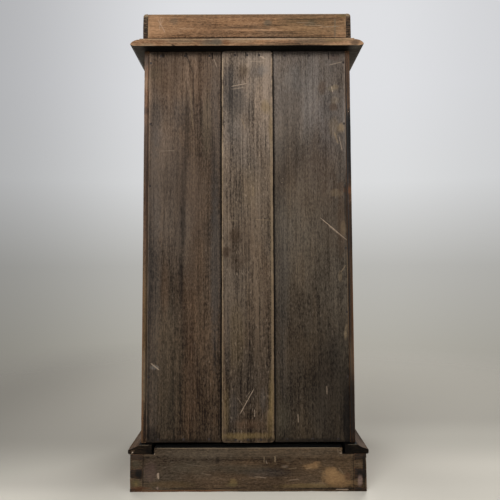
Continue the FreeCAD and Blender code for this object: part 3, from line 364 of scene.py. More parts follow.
def wood(name, finish, grain, seed, box, marks=(), foot=None, under=None, over=None):
    """A wooden board's material.

    Marks lie on its rear face, foot tints that face by height with painted shading higher up, under gives the tones
    of an underside with painted shadow at its back, and over is the height from which its level faces get painted
    shade.
    """
    material = bpy.data.materials.new(name)
    shader = emptied(material)
    coordinate = shader.node("ShaderNodeTexCoord").outputs
    place, normal = coordinate["Object"], coordinate["Normal"]
    local = grain_place(shader, place, grain, seed, box)
    layer = {
        label: shader.noise(shader.vector("MULTIPLY", local, (1.0, 1.0, share)), *look)
        for label, (share, *look) in LAYERS.items()}
    rear = shader.ramp(shader.parts(normal)[1], *REAR_FACING)
    upward = shader.parts(normal)[2]

    grit = shader.added(
        leaning(shader, layer["ticks"], finish.ticks), leaning(shader, layer["speckle"], finish.speck),
        leaning(shader, layer["fibre"], finish.figure * FIBRE_SHARE))
    if foot is not None:
        grit = shader.times(grit, shader.ramp(shader.parts(place)[2], *FOOT_GRIT))
    push = shader.added(
        leaning(shader, layer["figure"], finish.figure), leaning(shader, layer["cloud"], finish.cloud), grit)
    tone = shader.maths("ADD", push, 0.5, clamp=True)
    colour = shader.mix(tone, finish.dark, finish.light)
    tint = shader.mix(shader.ramp(layer["hue"], *SHOWS["hue"]), WARM_TINT, COOL_TINT)
    colour = shader.mix(finish.hues, colour, tint, "MULTIPLY")
    ashen = shader.times(shader.ramp(layer["haze"], *SHOWS["haze"]), finish.grey)
    colour = shader.mix(ashen, colour, shader.mix(tone, finish.dark, ASHEN))
    pitted = shader.ramp(layer["pores"], *SHOWS["pores"], 0.0, finish.pits)
    colour = shader.mix(pitted, colour, finish.dark, "MULTIPLY")

    near = shader.ramp(edge_distance(shader, place, box), *EDGE_REACH, 1.0, 0.0)
    chafed = shader.times(near, shader.ramp(shader.noise(local, EDGE_GRAIN, 4.0, 0.6), *EDGE_SHOWS))
    colour = shader.mix(shader.times(chafed, finish.worn), colour, finish.wear)
    if foot is not None:
        colour = footed(shader, colour, foot, place, layer["haze"], rear)
    colour = shader.mix(shader.ramp(layer["flecks"], *SHOWS["flecks"], 0.0, finish.flecks), colour, PALE)

    across = shader.parts(normal)["xyz".index(grain)] if grain in "xyz" else 0.0
    ended = shader.ramp(shader.maths("ABSOLUTE", across), *END_FACING)
    rings = shader.noise(shader.vector("MULTIPLY", local, (1.0, 5.0, 1.0)), END_GRAIN, 4.0, 0.6)
    end_light = shader.mix(finish.ending, finish.end, finish.light)
    colour = shader.mix(ended, colour, shader.mix(shader.ramp(rings, *RINGS_SHOW), finish.end, end_light))
    if under is not None:
        colour = undersided(shader, colour, under, place, upward, tone)
    if over is not None:
        colour = gap_shaded(shader, colour, over, place, normal, upward)

    depth = shader.added(layer["ticks"], shader.times(layer["figure"], FIGURE_RELIEF))
    depth = shader.minus(depth, shader.times(pitted, PIT_RELIEF))
    colour, depth = marked(shader, colour, depth, marks, place, tone, rear)
    bump = shader.node("ShaderNodeBump", {"Strength": finish.relief, "Distance": BUMP_DEPTH, "Height": depth})
    roughness = shader.ramp(tone, 0.0, 1.0, finish.rough + ROUGH_SPREAD, finish.rough - ROUGH_SPREAD)
    surface = shader.node("ShaderNodeBsdfPrincipled", {
        "Base Color": colour, "Roughness": roughness, "Normal": bump.outputs[0], "Specular IOR Level": finish.gloss})
    shader.node("ShaderNodeOutputMaterial", {0: surface.outputs[0]})
    return material


def worn_metal(name, base, dark, metallic, rough, scale):
    """Old metal: its colour breaks up into a darker tarnish or rust."""
    material = bpy.data.materials.new(name)
    shader = emptied(material)
    place = shader.node("ShaderNodeTexCoord").outputs["Object"]
    spots = shader.ramp(shader.noise(place, scale, 5.0, 0.65), *METAL_SHOWS)
    fine = shader.noise(place, scale * 6, 3.0)
    bump = shader.node("ShaderNodeBump", {"Strength": 0.4, "Distance": METAL_BUMP_DEPTH, "Height": fine})
    metal = shader.ramp(spots, 0.0, 1.0, metallic, metallic * TARNISH_METAL)
    roughness = shader.ramp(spots, 0.0, 1.0, rough, min(rough + TARNISH_ROUGH, 1.0))
    surface = shader.node("ShaderNodeBsdfPrincipled", {
        "Base Color": shader.mix(spots, linear(*base), linear(*dark)), "Metallic": metal, "Roughness": roughness,
        "Normal": bump.outputs[0]})
    shader.node("ShaderNodeOutputMaterial", {0: surface.outputs[0]})
    return material


def dress(obj, material):
    """Gives an object one material on all its faces."""
    obj.data.materials.clear()
    obj.data.materials.append(material)


# Worn copies of the boards. Lengths are in millimetres and angles in radians.

WELD = 0.002  # points nearer than this are one
FLAT_ANGLE = 0.01  # faces that meet flatter than this are one
ARRIS_ANGLE = 0.6  # edges sharper than this are rounded
CHIPPED_ANGLE = 0.25  # after rounding, points on edges sharper than this may chip
STEP = 22.0  # about how far apart the cuts are that let a face go out of flat
FACE_WEAR = 0.15
CHIP_GAIN = 1.6
WEAR_SHIFT = (3.1, 1.7, 2.3)  # how far one board's wear lies from the next one's
SWELL_SCALE, CHIP_SCALE, FINE_SCALE, FINE_SHARE, CHIP_LIMIT = 14, 75, 210, 0.35, 0.05
BEVEL, CHIP, CRISP = 0.6, 0.6, 0.7

# The top's side edges: the cuts across them, how far in and up they are drawn in below, and where and how much
# they swell above.
ROUND_CUTS = (0.2, 0.4, 0.65, 1.0)
ROUND_REACH, ROUND_RISE, RISE_LIMIT = 9.0, 2.4, 0.4
SWELL_REACH, SWELL_START, SWELL_SPAN, ROUND_SWELL = 16.0, 0.25, 0.65, 0.9


def bisect(shape, axis, place):
    """Cuts a shape's faces where they cross a plane square to an axis."""
    point, way = Vector((0.0, 0.0, 0.0)), Vector((0.0, 0.0, 0.0))
    point[axis], way[axis] = place, 1.0
    geometry = shape.verts[:] + shape.edges[:] + shape.faces[:]
    bmesh.ops.bisect_plane(shape, geom=geometry, plane_co=point, plane_no=way, dist=1e-6)


def round_ends(shape, low, high):
    """The top's side edges as use has left them: fuller above and drawn in below."""
    for share in ROUND_CUTS:
        inset = ROUND_REACH * share * MM
        bisect(shape, 0, low[0] + inset)
        bisect(shape, 0, high[0] - inset)
    for vertex in shape.verts:
        inset = min(vertex.co.x - low[0], high[0] - vertex.co.x)
        out = max(0.0, 1.0 - inset / (ROUND_REACH * MM))
        up = (vertex.co.z - low[2]) / (high[2] - low[2])
        vertex.co.z += ROUND_RISE * MM * out * out * max(0.0, 1.0 - up / RISE_LIMIT)
        turn = min(max((up - SWELL_START) / SWELL_SPAN, 0.0), 1.0)
        swell = math.sin(math.pi * turn) * ROUND_SWELL * MM
        if inset < SWELL_REACH * MM:
            vertex.co.x = min(max(vertex.co.x + math.copysign(swell, vertex.co.x), low[0]), high[0])


def worn_away(vertex, seed, chip):
    """How far wear moves a point inwards: a little everywhere, and more in the chips along sharp edges."""
    place = vertex.co + Vector([seed * part for part in WEAR_SHIFT])
    angle = max((edge.calc_face_angle(0.0) for edge in vertex.link_edges if len(edge.link_faces) == 2), default=0.0)
    swell = 0.5 + 0.5 * noise.noise(place * SWELL_SCALE)
    ragged = noise.noise(place * CHIP_SCALE) + FINE_SHARE * noise.noise(place * FINE_SCALE) - CHIP_LIMIT
    return FACE_WEAR * swell + (chip * max(0.0, ragged) * CHIP_GAIN if angle > CHIPPED_ANGLE else 0.0)


def age(name, material, slot, body, seed, bevel=BEVEL, chip=CHIP, sculpt=None, crisp=CRISP):
    """Puts a worn copy in a board's place: rounded arrises, chipped edges and a face that is no longer flat.

    Wear only moves points inwards, and sculpt keeps to the board's box, so the copy stays inside that box.
    """
    mesh = nodes[name].data.copy()
    mesh.name = f"{name}.worn"
    obj = bpy.data.objects.new(f"{name}.worn", mesh)
    bpy.context.scene.collection.objects.link(obj)
    shape = bmesh.new()
    shape.from_mesh(mesh)
    bmesh.ops.remove_doubles(shape, verts=shape.verts, dist=WELD * MM)
    bmesh.ops.dissolve_limit(shape, angle_limit=FLAT_ANGLE, verts=shape.verts, edges=shape.edges)
    sharp = [edge for edge in shape.edges if len(edge.link_faces) == 2 and edge.calc_face_angle(0.0) > ARRIS_ANGLE]
    bmesh.ops.bevel(shape, geom=sharp, offset=bevel * MM, offset_type="OFFSET", segments=2, profile=0.6,
                    affect="EDGES", clamp_overlap=True)
    low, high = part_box(name)
    for axis in range(3):
        count = int((high[axis] - low[axis]) / (STEP * MM))
        for cut in range(1, count):
            bisect(shape, axis, low[axis] + (high[axis] - low[axis]) * cut / count)
    if sculpt is not None:
        sculpt(shape, low, high)
    shape.normal_update()
    moves = [vertex.normal * (-worn_away(vertex, seed, chip) * MM) for vertex in shape.verts]
    for vertex, move in zip(shape.verts, moves):
        vertex.co += move
    shape.to_mesh(mesh)
    shape.free()
    for polygon in mesh.polygons:
        polygon.use_smooth = True
    mesh.set_sharp_from_angle(angle=crisp)
    dress(obj, material)
    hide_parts(name)
    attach(obj, body)


# The finishes.

BACK_RIGHT = Finish((35, 27, 21), (103, 86, 71), worn=0.4, wear=(130, 110, 90), flecks=0.12, hues=0.4)
BACK_MIDDLE = Finish((38, 31, 25), (116, 101, 86), worn=0.6, wear=(150, 128, 102), cloud=0.4, flecks=0.3, hues=0.3,
                     speck=0.24, pits=0.2, figure=0.62)
BACK_LEFT = Finish((38, 31, 25), (103, 91, 77), worn=0.3, wear=(128, 112, 96), hues=0.3, cloud=0.45, grey=0.2,
                   flecks=0.1, figure=0.35)
GALLERY = Finish((62, 44, 30), (150, 117, 88), end=(16, 13, 11), worn=0.5, wear=(164, 134, 102), flecks=0.12,
                 hues=0.5)
TOP = Finish((80, 56, 38), (168, 130, 97), end=(80, 57, 39), worn=0.5, wear=(160, 132, 100), rough=0.65, hues=0.5)
PLINTH = Finish((32, 24, 17), (90, 73, 54), end=(26, 20, 15), worn=0.45, wear=(106, 86, 64), grey=0.1, flecks=0.12,
                figure=0.32, hues=0.6, speck=0.3)
CASE = Finish((56, 33, 19), (136, 92, 58), end=(52, 36, 24), rough=0.42, relief=0.25, worn=0.5, hues=0.4,
              wear=(164, 122, 84), ticks=0.25, figure=0.6, gloss=0.5)
MOULDING = Finish((42, 29, 19), (108, 84, 61), end=(13, 10, 7), relief=0.3, worn=0.3, hues=0.4,
                  wear=(124, 102, 82), ticks=0.35, ending=0.14, gloss=0.06)
# A darker copy of MOULDING for the moulding on the side away from the key lamp: painted shade.
MOULDING_IN_SHADE = Finish((36, 25, 17), (92, 72, 54), end=(5, 4, 3), relief=0.3, worn=0.3, hues=0.4,
                       wear=(108, 90, 72), ticks=0.35, ending=0.08, gloss=0.06)
SIDE = Finish((54, 35, 22), (130, 92, 62), end=(60, 44, 32), rough=0.5, relief=0.3, worn=0.25, hues=0.4,
              wear=(140, 110, 82), figure=0.55, ticks=0.3, gloss=0.14)
PLINTH_SIDE = Finish((54, 35, 22), (130, 92, 62), end=(26, 20, 15), rough=0.5, relief=0.3, worn=0.3, hues=0.4,
                     wear=(130, 102, 76), figure=0.55, ticks=0.3, gloss=0.14, ending=0.16)
RAW = Finish((104, 76, 50), (176, 140, 102), end=(96, 72, 50), rough=0.85, worn=0.2, grey=0.2)
KNOB = Finish((44, 25, 14), (98, 60, 36), end=(50, 30, 18), rough=0.32, relief=0.12, worn=0.1, ticks=0.3, hues=0.2,
              gloss=0.5)

SPOT_LENGTH = 0.3


def stroke(x1, z1, x2, z2, width, ink, strength):
    """A mark from one place on the back to another. Marks are in millimetres."""
    return ("stroke", (x1, z1), (x2, z2), width, ink, strength)


def spot(x, z, radius, ink, strength=0.9):
    """A round mark: a stroke with next to no length."""
    return ("stroke", (x, z), (x + SPOT_LENGTH, z + SPOT_LENGTH), radius, ink, strength)


def patch(x, z, wide, high, ink, strength):
    """A stain round a place on the back."""
    return ("patch", (x, z), (wide, high), None, ink, strength)


# The marks, each over the ones before it. Some are painted shadows and highlights, as said beside them.

RIGHT_MARKS = [
    # Painted shadows: the first stroke is the top's shadow along the board's top edge, the second the shadow beside
    # the proud middle board, and the dark stroke at x 167.2 the shadow beside the side's lip.
    stroke(30, 740, 175, 740, 9.0, HOLE_AND_SHADOW, 0.55), stroke(45.4, 80, 45.4, 738, 3.0, HOLE_AND_SHADOW, 0.9),
    stroke(169.6, 80, 169.6, 738, 1.4, PALE, 0.35), stroke(167.2, 80, 167.2, 560, 3.5, HOLE_AND_SHADOW, 0.35),
    patch(160, 300, 14, 330, COLD, 0.35), patch(159, 620, 12, 60, COLD, 0.35), patch(159, 702, 14, 14, MOSS, 0.45),
    patch(117, 632, 14, 34, COLD, 0.3), patch(56, 600, 9, 170, COLD, 0.3), patch(55, 370, 9, 170, COLD, 0.45),
    patch(135, 200, 30, 150, MOSS, 0.3), patch(83, 690, 18, 60, RUSSET, 0.15), patch(120, 690, 60, 50, BUFF, 0.12),
    patch(140, 700, 26, 50, UMBER, 0.3), patch(110, 520, 60, 60, UMBER, 0.25), patch(88, 430, 16, 120, UMBER, 0.3),
    patch(100, 290, 14, 90, RUSSET, 0.15), patch(96, 170, 14, 90, RUSSET, 0.2), patch(120, 480, 60, 100, COLD, 0.2),
    patch(70, 610, 10, 60, MOSS, 0.4), stroke(106.2, 739, 103, 728, 2.6, HOLE_AND_SHADOW, 0.8),
    stroke(103, 728, 93.8, 703, 2.4, HOLE_AND_SHADOW, 0.55), stroke(93.8, 703, 92.6, 645, 2.2, HOLE_AND_SHADOW, 0.5),
    stroke(105, 690, 104, 630, 2.0, HOLE_AND_SHADOW, 0.35), stroke(98.6, 678, 94, 606, 1.6, TAN, 0.3),
    patch(104, 600, 6, 70, HOLE_AND_SHADOW, 0.5), patch(110, 440, 4.5, 60, HOLE_AND_SHADOW, 0.6), patch(113, 345, 4.5, 50, HOLE_AND_SHADOW, 0.6),
    patch(108, 520, 6, 70, HOLE_AND_SHADOW, 0.45), patch(120, 470, 10, 120, HOLE_AND_SHADOW, 0.25),
    stroke(150, 566, 124, 566.5, 0.9, PALE, 0.25), patch(157, 199, 8, 4, MIST, 0.5),
    stroke(163, 206, 149, 195, 1.4, PALE, 0.55), spot(165.2, 614.5, 3.6, HOLE_AND_SHADOW, 0.95),
    spot(164.4, 610, 2.6, HOLE_AND_SHADOW, 0.9), spot(164, 469, 1.8, HOLE_AND_SHADOW, 0.7), stroke(60.4, 739, 60.4, 727, 1.8, HOLE_AND_SHADOW, 0.95),
    stroke(58, 728, 52, 712, 1.0, PALE, 0.4), patch(146, 735, 3, 6, HOLE_AND_SHADOW, 0.8), patch(110, 77, 70, 5, HOLE_AND_SHADOW, 0.7),
    patch(160, 88, 14, 14, HOLE_AND_SHADOW, 0.6), stroke(124, 96, 124, 78, 1.6, HOLE_AND_SHADOW, 0.6),
    stroke(96, 92, 96, 78, 1.4, HOLE_AND_SHADOW, 0.5), stroke(148, 92, 147, 80, 2.0, HOLE_AND_SHADOW, 0.6),
    stroke(84, 88, 84, 77, 1.5, HOLE_AND_SHADOW, 0.5), stroke(63, 90, 63, 78, 1.8, HOLE_AND_SHADOW, 0.6),
    patch(140, 330, 8, 50, RUSSET, 0.25),
]
MIDDLE_MARKS = [
    # Painted shadow: the first stroke is the top's shadow along the board's top edge.
    stroke(-60, 741, 60, 741, 4.5, HOLE_AND_SHADOW, 0.5), stroke(-41.0, 84, -41.0, 660, 3.4, TAN, 0.4),
    stroke(42.8, 84, 42.8, 735, 1.4, TAN, 0.35), patch(31, 694, 9, 24, COLD, 0.5),
    patch(-16, 704, 14, 13, COLD, 0.35), patch(-27, 706, 9, 11, MIST, 0.4), patch(22, 655, 22, 30, COLD, 0.6),
    patch(22, 606, 18, 26, MIST, 0.25), patch(0, 640, 12, 20, COLD, 0.25), patch(6, 612, 8, 20, UMBER, 0.3),
    stroke(10, 622, 3, 604, 1.6, TAN, 0.35), patch(5, 708, 12, 12, TAN, 0.2), patch(22, 420, 12, 12, EARTH_AND_SHADOW, 0.5),
    patch(37, 392, 8, 10, EARTH_AND_SHADOW, 0.7), patch(10, 405, 26, 40, EARTH_AND_SHADOW, 0.25), patch(20, 372, 16, 14, EARTH_AND_SHADOW, 0.3),
    stroke(27, 678, 1, 683, 1.0, PALE, 0.7), stroke(26, 673, 6, 676, 0.8, PALE, 0.4),
    stroke(1.8, 739, 2.6, 727, 1.4, HOLE_AND_SHADOW, 0.85), stroke(-22.5, 731.5, -29.5, 728, 1.6, PALE, 0.9),
    stroke(-24, 728, -34, 726, 1.0, PALE, 0.6), stroke(-4, 722, -30, 722, 0.9, PALE, 0.35),
    stroke(-9.9, 164, 13.5, 123, 1.1, PALE, 0.7), stroke(-10.8, 130, -10.8, 118, 1.0, PALE, 0.6),
    stroke(-4, 160, 4, 150, 0.8, PALE, 0.35), stroke(18, 150, 10, 138, 0.7, PALE, 0.3),
    patch(-32, 642, 9, 14, GOLD, 0.5), patch(-40, 606, 4, 30, GOLD, 0.35), patch(-39, 152, 5, 44, GOLD, 0.55),
    patch(-37, 112, 6, 30, GOLD, 0.5), patch(16, 87, 30, 6, GOLD, 0.7), patch(-16, 88, 26, 5, GOLD, 0.5),
    patch(36, 130, 6, 40, GOLD, 0.3), patch(0, 200, 34, 110, HOLE_AND_SHADOW, 0.2), patch(-25, 146, 6, 22, COLD, 0.35),
    patch(25, 130, 10, 30, COLD, 0.25), patch(0, 106, 26, 9, RUSSET, 0.3), patch(20, 250, 16, 60, GOLD, 0.15),
    patch(0, 722, 40, 12, PALE, 0.15), stroke(-9.5, 506, -9.4, 486, 1.6, TAN, 0.4), patch(-4, 500, 16, 40, TAN, 0.15),
    stroke(38, 445, 16, 445, 0.9, TAN, 0.3), stroke(-14, 447, -38, 446, 0.9, TAN, 0.4),
    patch(-32, 330, 8, 60, UMBER, 0.3), spot(-24.5, 80.5, 1.4, HOLE_AND_SHADOW, 0.8), spot(-32.8, 79.9, 1.7, HOLE_AND_SHADOW, 0.9),
    patch(0, 620, 40, 60, PALE, 0.08), patch(34, 240, 6, 60, COLD, 0.2), patch(8, 702, 9, 14, EARTH_AND_SHADOW, 0.45),
]
LEFT_MARKS = [
    # Painted shadows: the first stroke is the top's shadow along the board's top edge, the second the shadow beside
    # the proud middle board.
    stroke(-175, 740, -30, 740, 9.0, HOLE_AND_SHADOW, 0.55), stroke(-45.4, 80, -45.4, 738, 2.8, HOLE_AND_SHADOW, 0.9),
    patch(-58, 400, 12, 260, COLD, 0.25), patch(-83, 690, 26, 26, MIST, 0.35), patch(-75, 640, 26, 44, COLD, 0.25),
    patch(-72, 560, 22, 50, COLD, 0.2), patch(-105, 520, 60, 60, UMBER, 0.25), patch(-130, 560, 30, 60, UMBER, 0.2),
    patch(-150, 450, 30, 70, EARTH_AND_SHADOW, 0.3), patch(-147, 674, 8, 5, GREIGE_AND_HIGHLIGHT, 0.7), patch(-153, 677, 6, 5, TAN, 0.4),
    patch(-130, 676, 8, 14, UMBER, 0.5), stroke(-128, 700, -132, 688, 1.3, MIST, 0.3),
    stroke(-146, 678, -148, 668, 1.3, PALE, 0.55), patch(-149, 642, 8, 9, UMBER, 0.6),
    patch(-152, 654, 8, 7, TAN, 0.25), patch(-150, 606, 10, 20, TAN, 0.25),
    stroke(-150, 598, -156, 578, 2.2, TAN, 0.4), patch(-162, 606, 7, 8, TAN, 0.7),
    stroke(-158, 592, -163, 566, 1.4, PALE, 0.35), stroke(-142, 716, -166, 722, 1.0, PALE, 0.4),
    patch(-150, 730, 12, 6, PLUM, 0.5), patch(-166.5, 497, 4, 4, RUST, 0.4), patch(-152, 492, 12, 8, TAN, 0.3),
    patch(-160, 504, 8, 10, UMBER, 0.5), patch(-168.0, 470, 3.5, 60, HOLE_AND_SHADOW, 0.7),
    patch(-164.5, 252, 3.0, 8, TAN, 0.55), patch(-166, 264, 2.5, 8, TAN, 0.4), spot(-165.2, 252, 1.8, HOLE_AND_SHADOW, 0.95),
    spot(-165.2, 396.5, 2.4, HOLE_AND_SHADOW, 0.85), stroke(-124.5, 449.6, -169.0, 411.8, 0.9, PALE, 0.75),
    stroke(-138, 436, -166, 413.5, 0.8, PALE, 0.4), stroke(-158, 357.6, -166.8, 369.4, 1.2, TAN, 0.35),
    patch(-157, 350, 4, 10, TAN, 0.3), patch(-163, 432, 5, 14, TAN, 0.4), spot(-59.2, 511, 2.0, PALE, 0.55),
    spot(-61, 517, 1.6, PALE, 0.5), stroke(-141.7, 739, -141.7, 726, 1.5, HOLE_AND_SHADOW, 0.8),
    stroke(-106, 739, -106, 726, 1.3, HOLE_AND_SHADOW, 0.6), stroke(-59.6, 98, -61, 84, 1.6, HOLE_AND_SHADOW, 0.85),
    patch(-140, 160, 40, 110, HOLE_AND_SHADOW, 0.45), patch(-110, 77, 70, 6, HOLE_AND_SHADOW, 0.7), patch(-165, 110, 8, 70, HOLE_AND_SHADOW, 0.8),
    patch(-58, 116, 12, 30, MOSS, 0.5), stroke(-169.4, 390, -169.4, 250, 1.2, TAN, 0.3),
    stroke(-169.6, 730, -169.6, 560, 1.2, PALE, 0.35), patch(-160, 440, 8, 60, UMBER, 0.4),
    stroke(-131.8, 168, -131.8, 154, 1.2, PALE, 0.35), stroke(-83, 122, -84, 108, 1.3, PALE, 0.35),
    stroke(-98, 96, -98, 80, 1.4, HOLE_AND_SHADOW, 0.5), stroke(-124, 92, -123, 80, 1.6, HOLE_AND_SHADOW, 0.5),
]
GALLERY_MARKS = [
    stroke(-169, 757.6, 169, 757.6, 2.4, HOLE_AND_SHADOW, 0.8), stroke(-169, 799.2, 169, 799.2, 1.4, GOLD, 0.6),
    stroke(152.4, 790, 140.3, 768, 1.1, PALE, 0.65), stroke(147, 796, 150, 772, 1.0, PALE, 0.5),
    stroke(143, 794, 148, 780, 0.8, PALE, 0.35), patch(-36, 784, 8, 6, STONE, 0.7),
    patch(-110, 784, 9, 6, MOSS, 0.55), stroke(-150.9, 792, -150.6, 757, 2.4, STONE, 0.6),
    patch(-164, 797, 7, 4, GOLD, 0.9), patch(10, 776, 60, 3, HOLE_AND_SHADOW, 0.32), stroke(30, 776, -40, 774, 1.4, HOLE_AND_SHADOW, 0.45),
    patch(-95, 787, 50, 8, HOLE_AND_SHADOW, 0.3), stroke(-60, 792, -120, 788, 1.0, HOLE_AND_SHADOW, 0.4),
    stroke(-70, 789, -140, 790, 1.0, HOLE_AND_SHADOW, 0.35), stroke(-10, 770, -90, 764, 1.1, HOLE_AND_SHADOW, 0.35),
    stroke(-40, 768, -130, 770, 1.0, HOLE_AND_SHADOW, 0.35), stroke(-84, 785, -118, 783, 0.8, PALE, 0.35),
    stroke(-96, 780, -130, 779, 0.9, PALE, 0.4), stroke(-126, 776, -160, 778, 0.9, PALE, 0.45),
    stroke(-30, 780, -70, 779, 0.9, HOLE_AND_SHADOW, 0.32), patch(60, 770, 30, 10, RUSSET, 0.25),
    patch(-110, 780, 70, 24, OLIVE, 0.25), patch(146, 780, 40, 20, BUFF, 0.4),
    stroke(118, 774, 90, 774, 1.0, PALE, 0.2), spot(55, 785, 1.4, HOLE_AND_SHADOW, 0.45), patch(125, 788, 8, 8, STONE, 0.4),
    patch(0, 796, 160, 4, UMBER, 0.35), stroke(120, 762, 96, 761, 1.0, HOLE_AND_SHADOW, 0.4),
    stroke(-100, 760, -150, 762, 1.0, HOLE_AND_SHADOW, 0.32),
]
GALLERY_END_MARKS = [
    patch(174, 800, 9, 6.0, TAN, 0.9), patch(-174, 800, 9, 6.5, TAN, 0.85), stroke(171, 790, 177, 790, 0.9, TAN, 0.5),
    stroke(171, 784, 177, 784.4, 0.8, TAN, 0.35), stroke(171, 776, 177, 776, 0.9, TAN, 0.4),
    stroke(171, 766, 177, 766, 0.8, TAN, 0.35), stroke(-171, 782, -177, 782, 0.8, STONE, 0.5),
    stroke(-174, 772, -174, 760, 1.2, HOLE_AND_SHADOW, 0.5),
]
TOP_MARKS = [
    stroke(-120, 752.4, 75, 752.4, 1.8, PALE, 0.55), stroke(-190, 752.0, 190, 752.0, 1.2, TAN, 0.5),
    patch(68, 747, 13, 6, STONE, 0.8), patch(52, 747, 12, 7, STONE, 0.9), patch(35, 747, 7, 6, RUST, 0.7),
    stroke(128, 744, 121, 740, 2.0, HOLE_AND_SHADOW, 0.9), stroke(-60, 740.5, -130, 742, 1.3, HOLE_AND_SHADOW, 0.6),
    patch(150, 747, 16, 5, RUST, 0.3), patch(120, 748, 60, 6, BUFF, 0.3), patch(10, 749, 30, 4, TAN, 0.5),
    patch(-183, 746, 8, 6, UMBER, 0.8), patch(-110, 747, 70, 8, UMBER, 0.35),
    stroke(20, 739.8, -190, 739.8, 1.8, HOLE_AND_SHADOW, 0.7), patch(-110, 748, 40, 5, MOSS, 0.4),
    stroke(190, 740.4, 130, 740.6, 1.2, GOLD, 0.6), patch(110, 749, 30, 3, TAN, 0.45),
    patch(-150, 750, 20, 3, GOLD, 0.5), stroke(-30, 746, -95, 744, 1.0, HOLE_AND_SHADOW, 0.6),
    patch(-60, 742, 60, 2.5, HOLE_AND_SHADOW, 0.5), patch(170, 743, 14, 3, TAN, 0.5), stroke(96, 741, 84, 740, 1.2, HOLE_AND_SHADOW, 0.6),
    patch(0, 743, 20, 3, UMBER, 0.5),
]
PLINTH_MARKS = [
    # Painted highlight: the first stroke is the lit top arris of the plinth's back.
    stroke(-150, 70.0, 150, 70.0, 1.4, GREIGE_AND_HIGHLIGHT, 0.55), patch(0, 60, 150, 8, STONE, 0.3),
    patch(160, 32, 12, 20, PLUM, 0.6), stroke(148, 30.5, 147.4, 21, 2.4, PALE, 0.7),
    stroke(149, 8, 148.4, 4, 2.2, PINK, 0.4), patch(-149, 13, 30, 7, AMBER, 0.7),
    patch(-141, 22, 20, 11, AMBER, 0.85), patch(-135, 32, 12, 8, AMBER, 0.7), patch(-116, 11, 14, 5, TAN, 0.45),
    patch(-163, 24, 6, 7, RUSSET, 0.6), stroke(-148, 38, -156, 28, 1.6, TAN, 0.25),
    patch(-104, 40, 15, 5, AMBER, 0.55), patch(-112, 45, 7, 4, AMBER, 0.5),
    stroke(-94.6, 36, -104, 38, 1.6, TAN, 0.4), stroke(-26, 56, -25.8, 46, 1.6, TAN, 0.35),
    stroke(-44, 57, -44, 47, 2.0, TAN, 0.5), stroke(-29, 50, -31, 44, 1.2, PALE, 0.3), patch(25, 15, 7, 6, GOLD, 0.8),
    patch(27, 11, 10, 3, OLIVE, 0.6), patch(50, 50, 4, 8, HOLE_AND_SHADOW, 0.6), stroke(30, 1.6, 192, 1.6, 1.8, RUST, 0.5),
    patch(128, 12, 40, 6, OLIVE, 0.45), patch(-95, 9, 50, 4, GOLD, 0.6), stroke(-143, 3.4, -164, 3.2, 1.5, PALE, 0.6),
    stroke(-60, 4, -190, 5, 1.3, HOLE_AND_SHADOW, 0.7), patch(130, 12, 30, 6, RUSSET, 0.4), patch(-183, 30, 6, 6, HOLE_AND_SHADOW, 0.9),
    patch(-183, 17, 4, 10, PINK, 0.5), patch(-190, 34, 3, 30, HOLE_AND_SHADOW, 0.9), patch(-66, 50, 9, 3, TAN, 0.25),
    patch(10, 36, 50, 8, MOSS, 0.45), patch(-30, 30, 40, 8, COLD, 0.3), spot(154, 60.5, 2.6, PALE, 0.85),
    patch(184, 14, 8, 6, OLIVE, 0.8), patch(184, 12, 3, 5, GOLD, 0.6), patch(180, 29, 7, 7, BLACK, 0.9),
    patch(184, 44, 8, 6, MOSS, 0.7), patch(184, 56, 8, 5, UMBER, 0.35), stroke(0, 6, 60, 5, 1.1, HOLE_AND_SHADOW, 0.7),
    stroke(60, 4.6, 128, 5.4, 1.1, HOLE_AND_SHADOW, 0.6), patch(-60, 40, 6, 3, PALE, 0.25),
    stroke(-66, 36, -80, 38, 1.3, TAN, 0.3), patch(90, 40, 40, 12, MOSS, 0.35),
    stroke(172.6, 60, 172.6, 4, 1.2, HOLE_AND_SHADOW, 0.6), stroke(-172.6, 60, -172.6, 4, 1.1, HOLE_AND_SHADOW, 0.5),
    stroke(184, 54.5, 162, 54.5, 1.2, HOLE_AND_SHADOW, 0.5), stroke(-147, 68, -148, 62, 1.4, PALE, 0.15),
    stroke(-150, 61.5, -156, 60.5, 1.5, PALE, 0.4), stroke(-150, 66, -157, 61, 1.0, PALE, 0.15),
    stroke(80, 30, 60, 27, 0.9, PALE, 0.15), stroke(100, 44, 70, 40, 0.9, PALE, 0.12),
    stroke(-10, 24, -30, 22, 0.9, PALE, 0.3), stroke(-66, 18, -84, 20, 0.9, PALE, 0.3),
    patch(176, 6, 16, 3, RUST, 0.4),
]
RIGHT_LIP = [
    # Painted shadow: the patch at z 728 is the top's shadow on the lip.
    stroke(171.4, 200, 171.4, 78, 3.4, HOLE_AND_SHADOW, 0.85), patch(174, 728, 14, 18, EARTH_AND_SHADOW, 0.9),
    patch(174, 706, 12, 12, UMBER, 0.4), patch(174, 684, 12, 12, TAN, 0.3), patch(174, 550, 12, 60, UMBER, 0.4),
    patch(174, 560, 10, 60, HOLE_AND_SHADOW, 0.4), patch(174, 300, 12, 90, GOLD, 0.4), patch(174, 180, 12, 50, TAN, 0.5),
    patch(174, 420, 12, 90, UMBER, 0.3), patch(174, 600, 14, 34, UMBER, 0.55),
    stroke(171.2, 80, 171.2, 738, 1.8, HOLE_AND_SHADOW, 0.6), patch(174, 636, 10, 8, HOLE_AND_SHADOW, 0.5),
    stroke(176.6, 360, 176.6, 90, 1.4, RUST, 0.4),
]
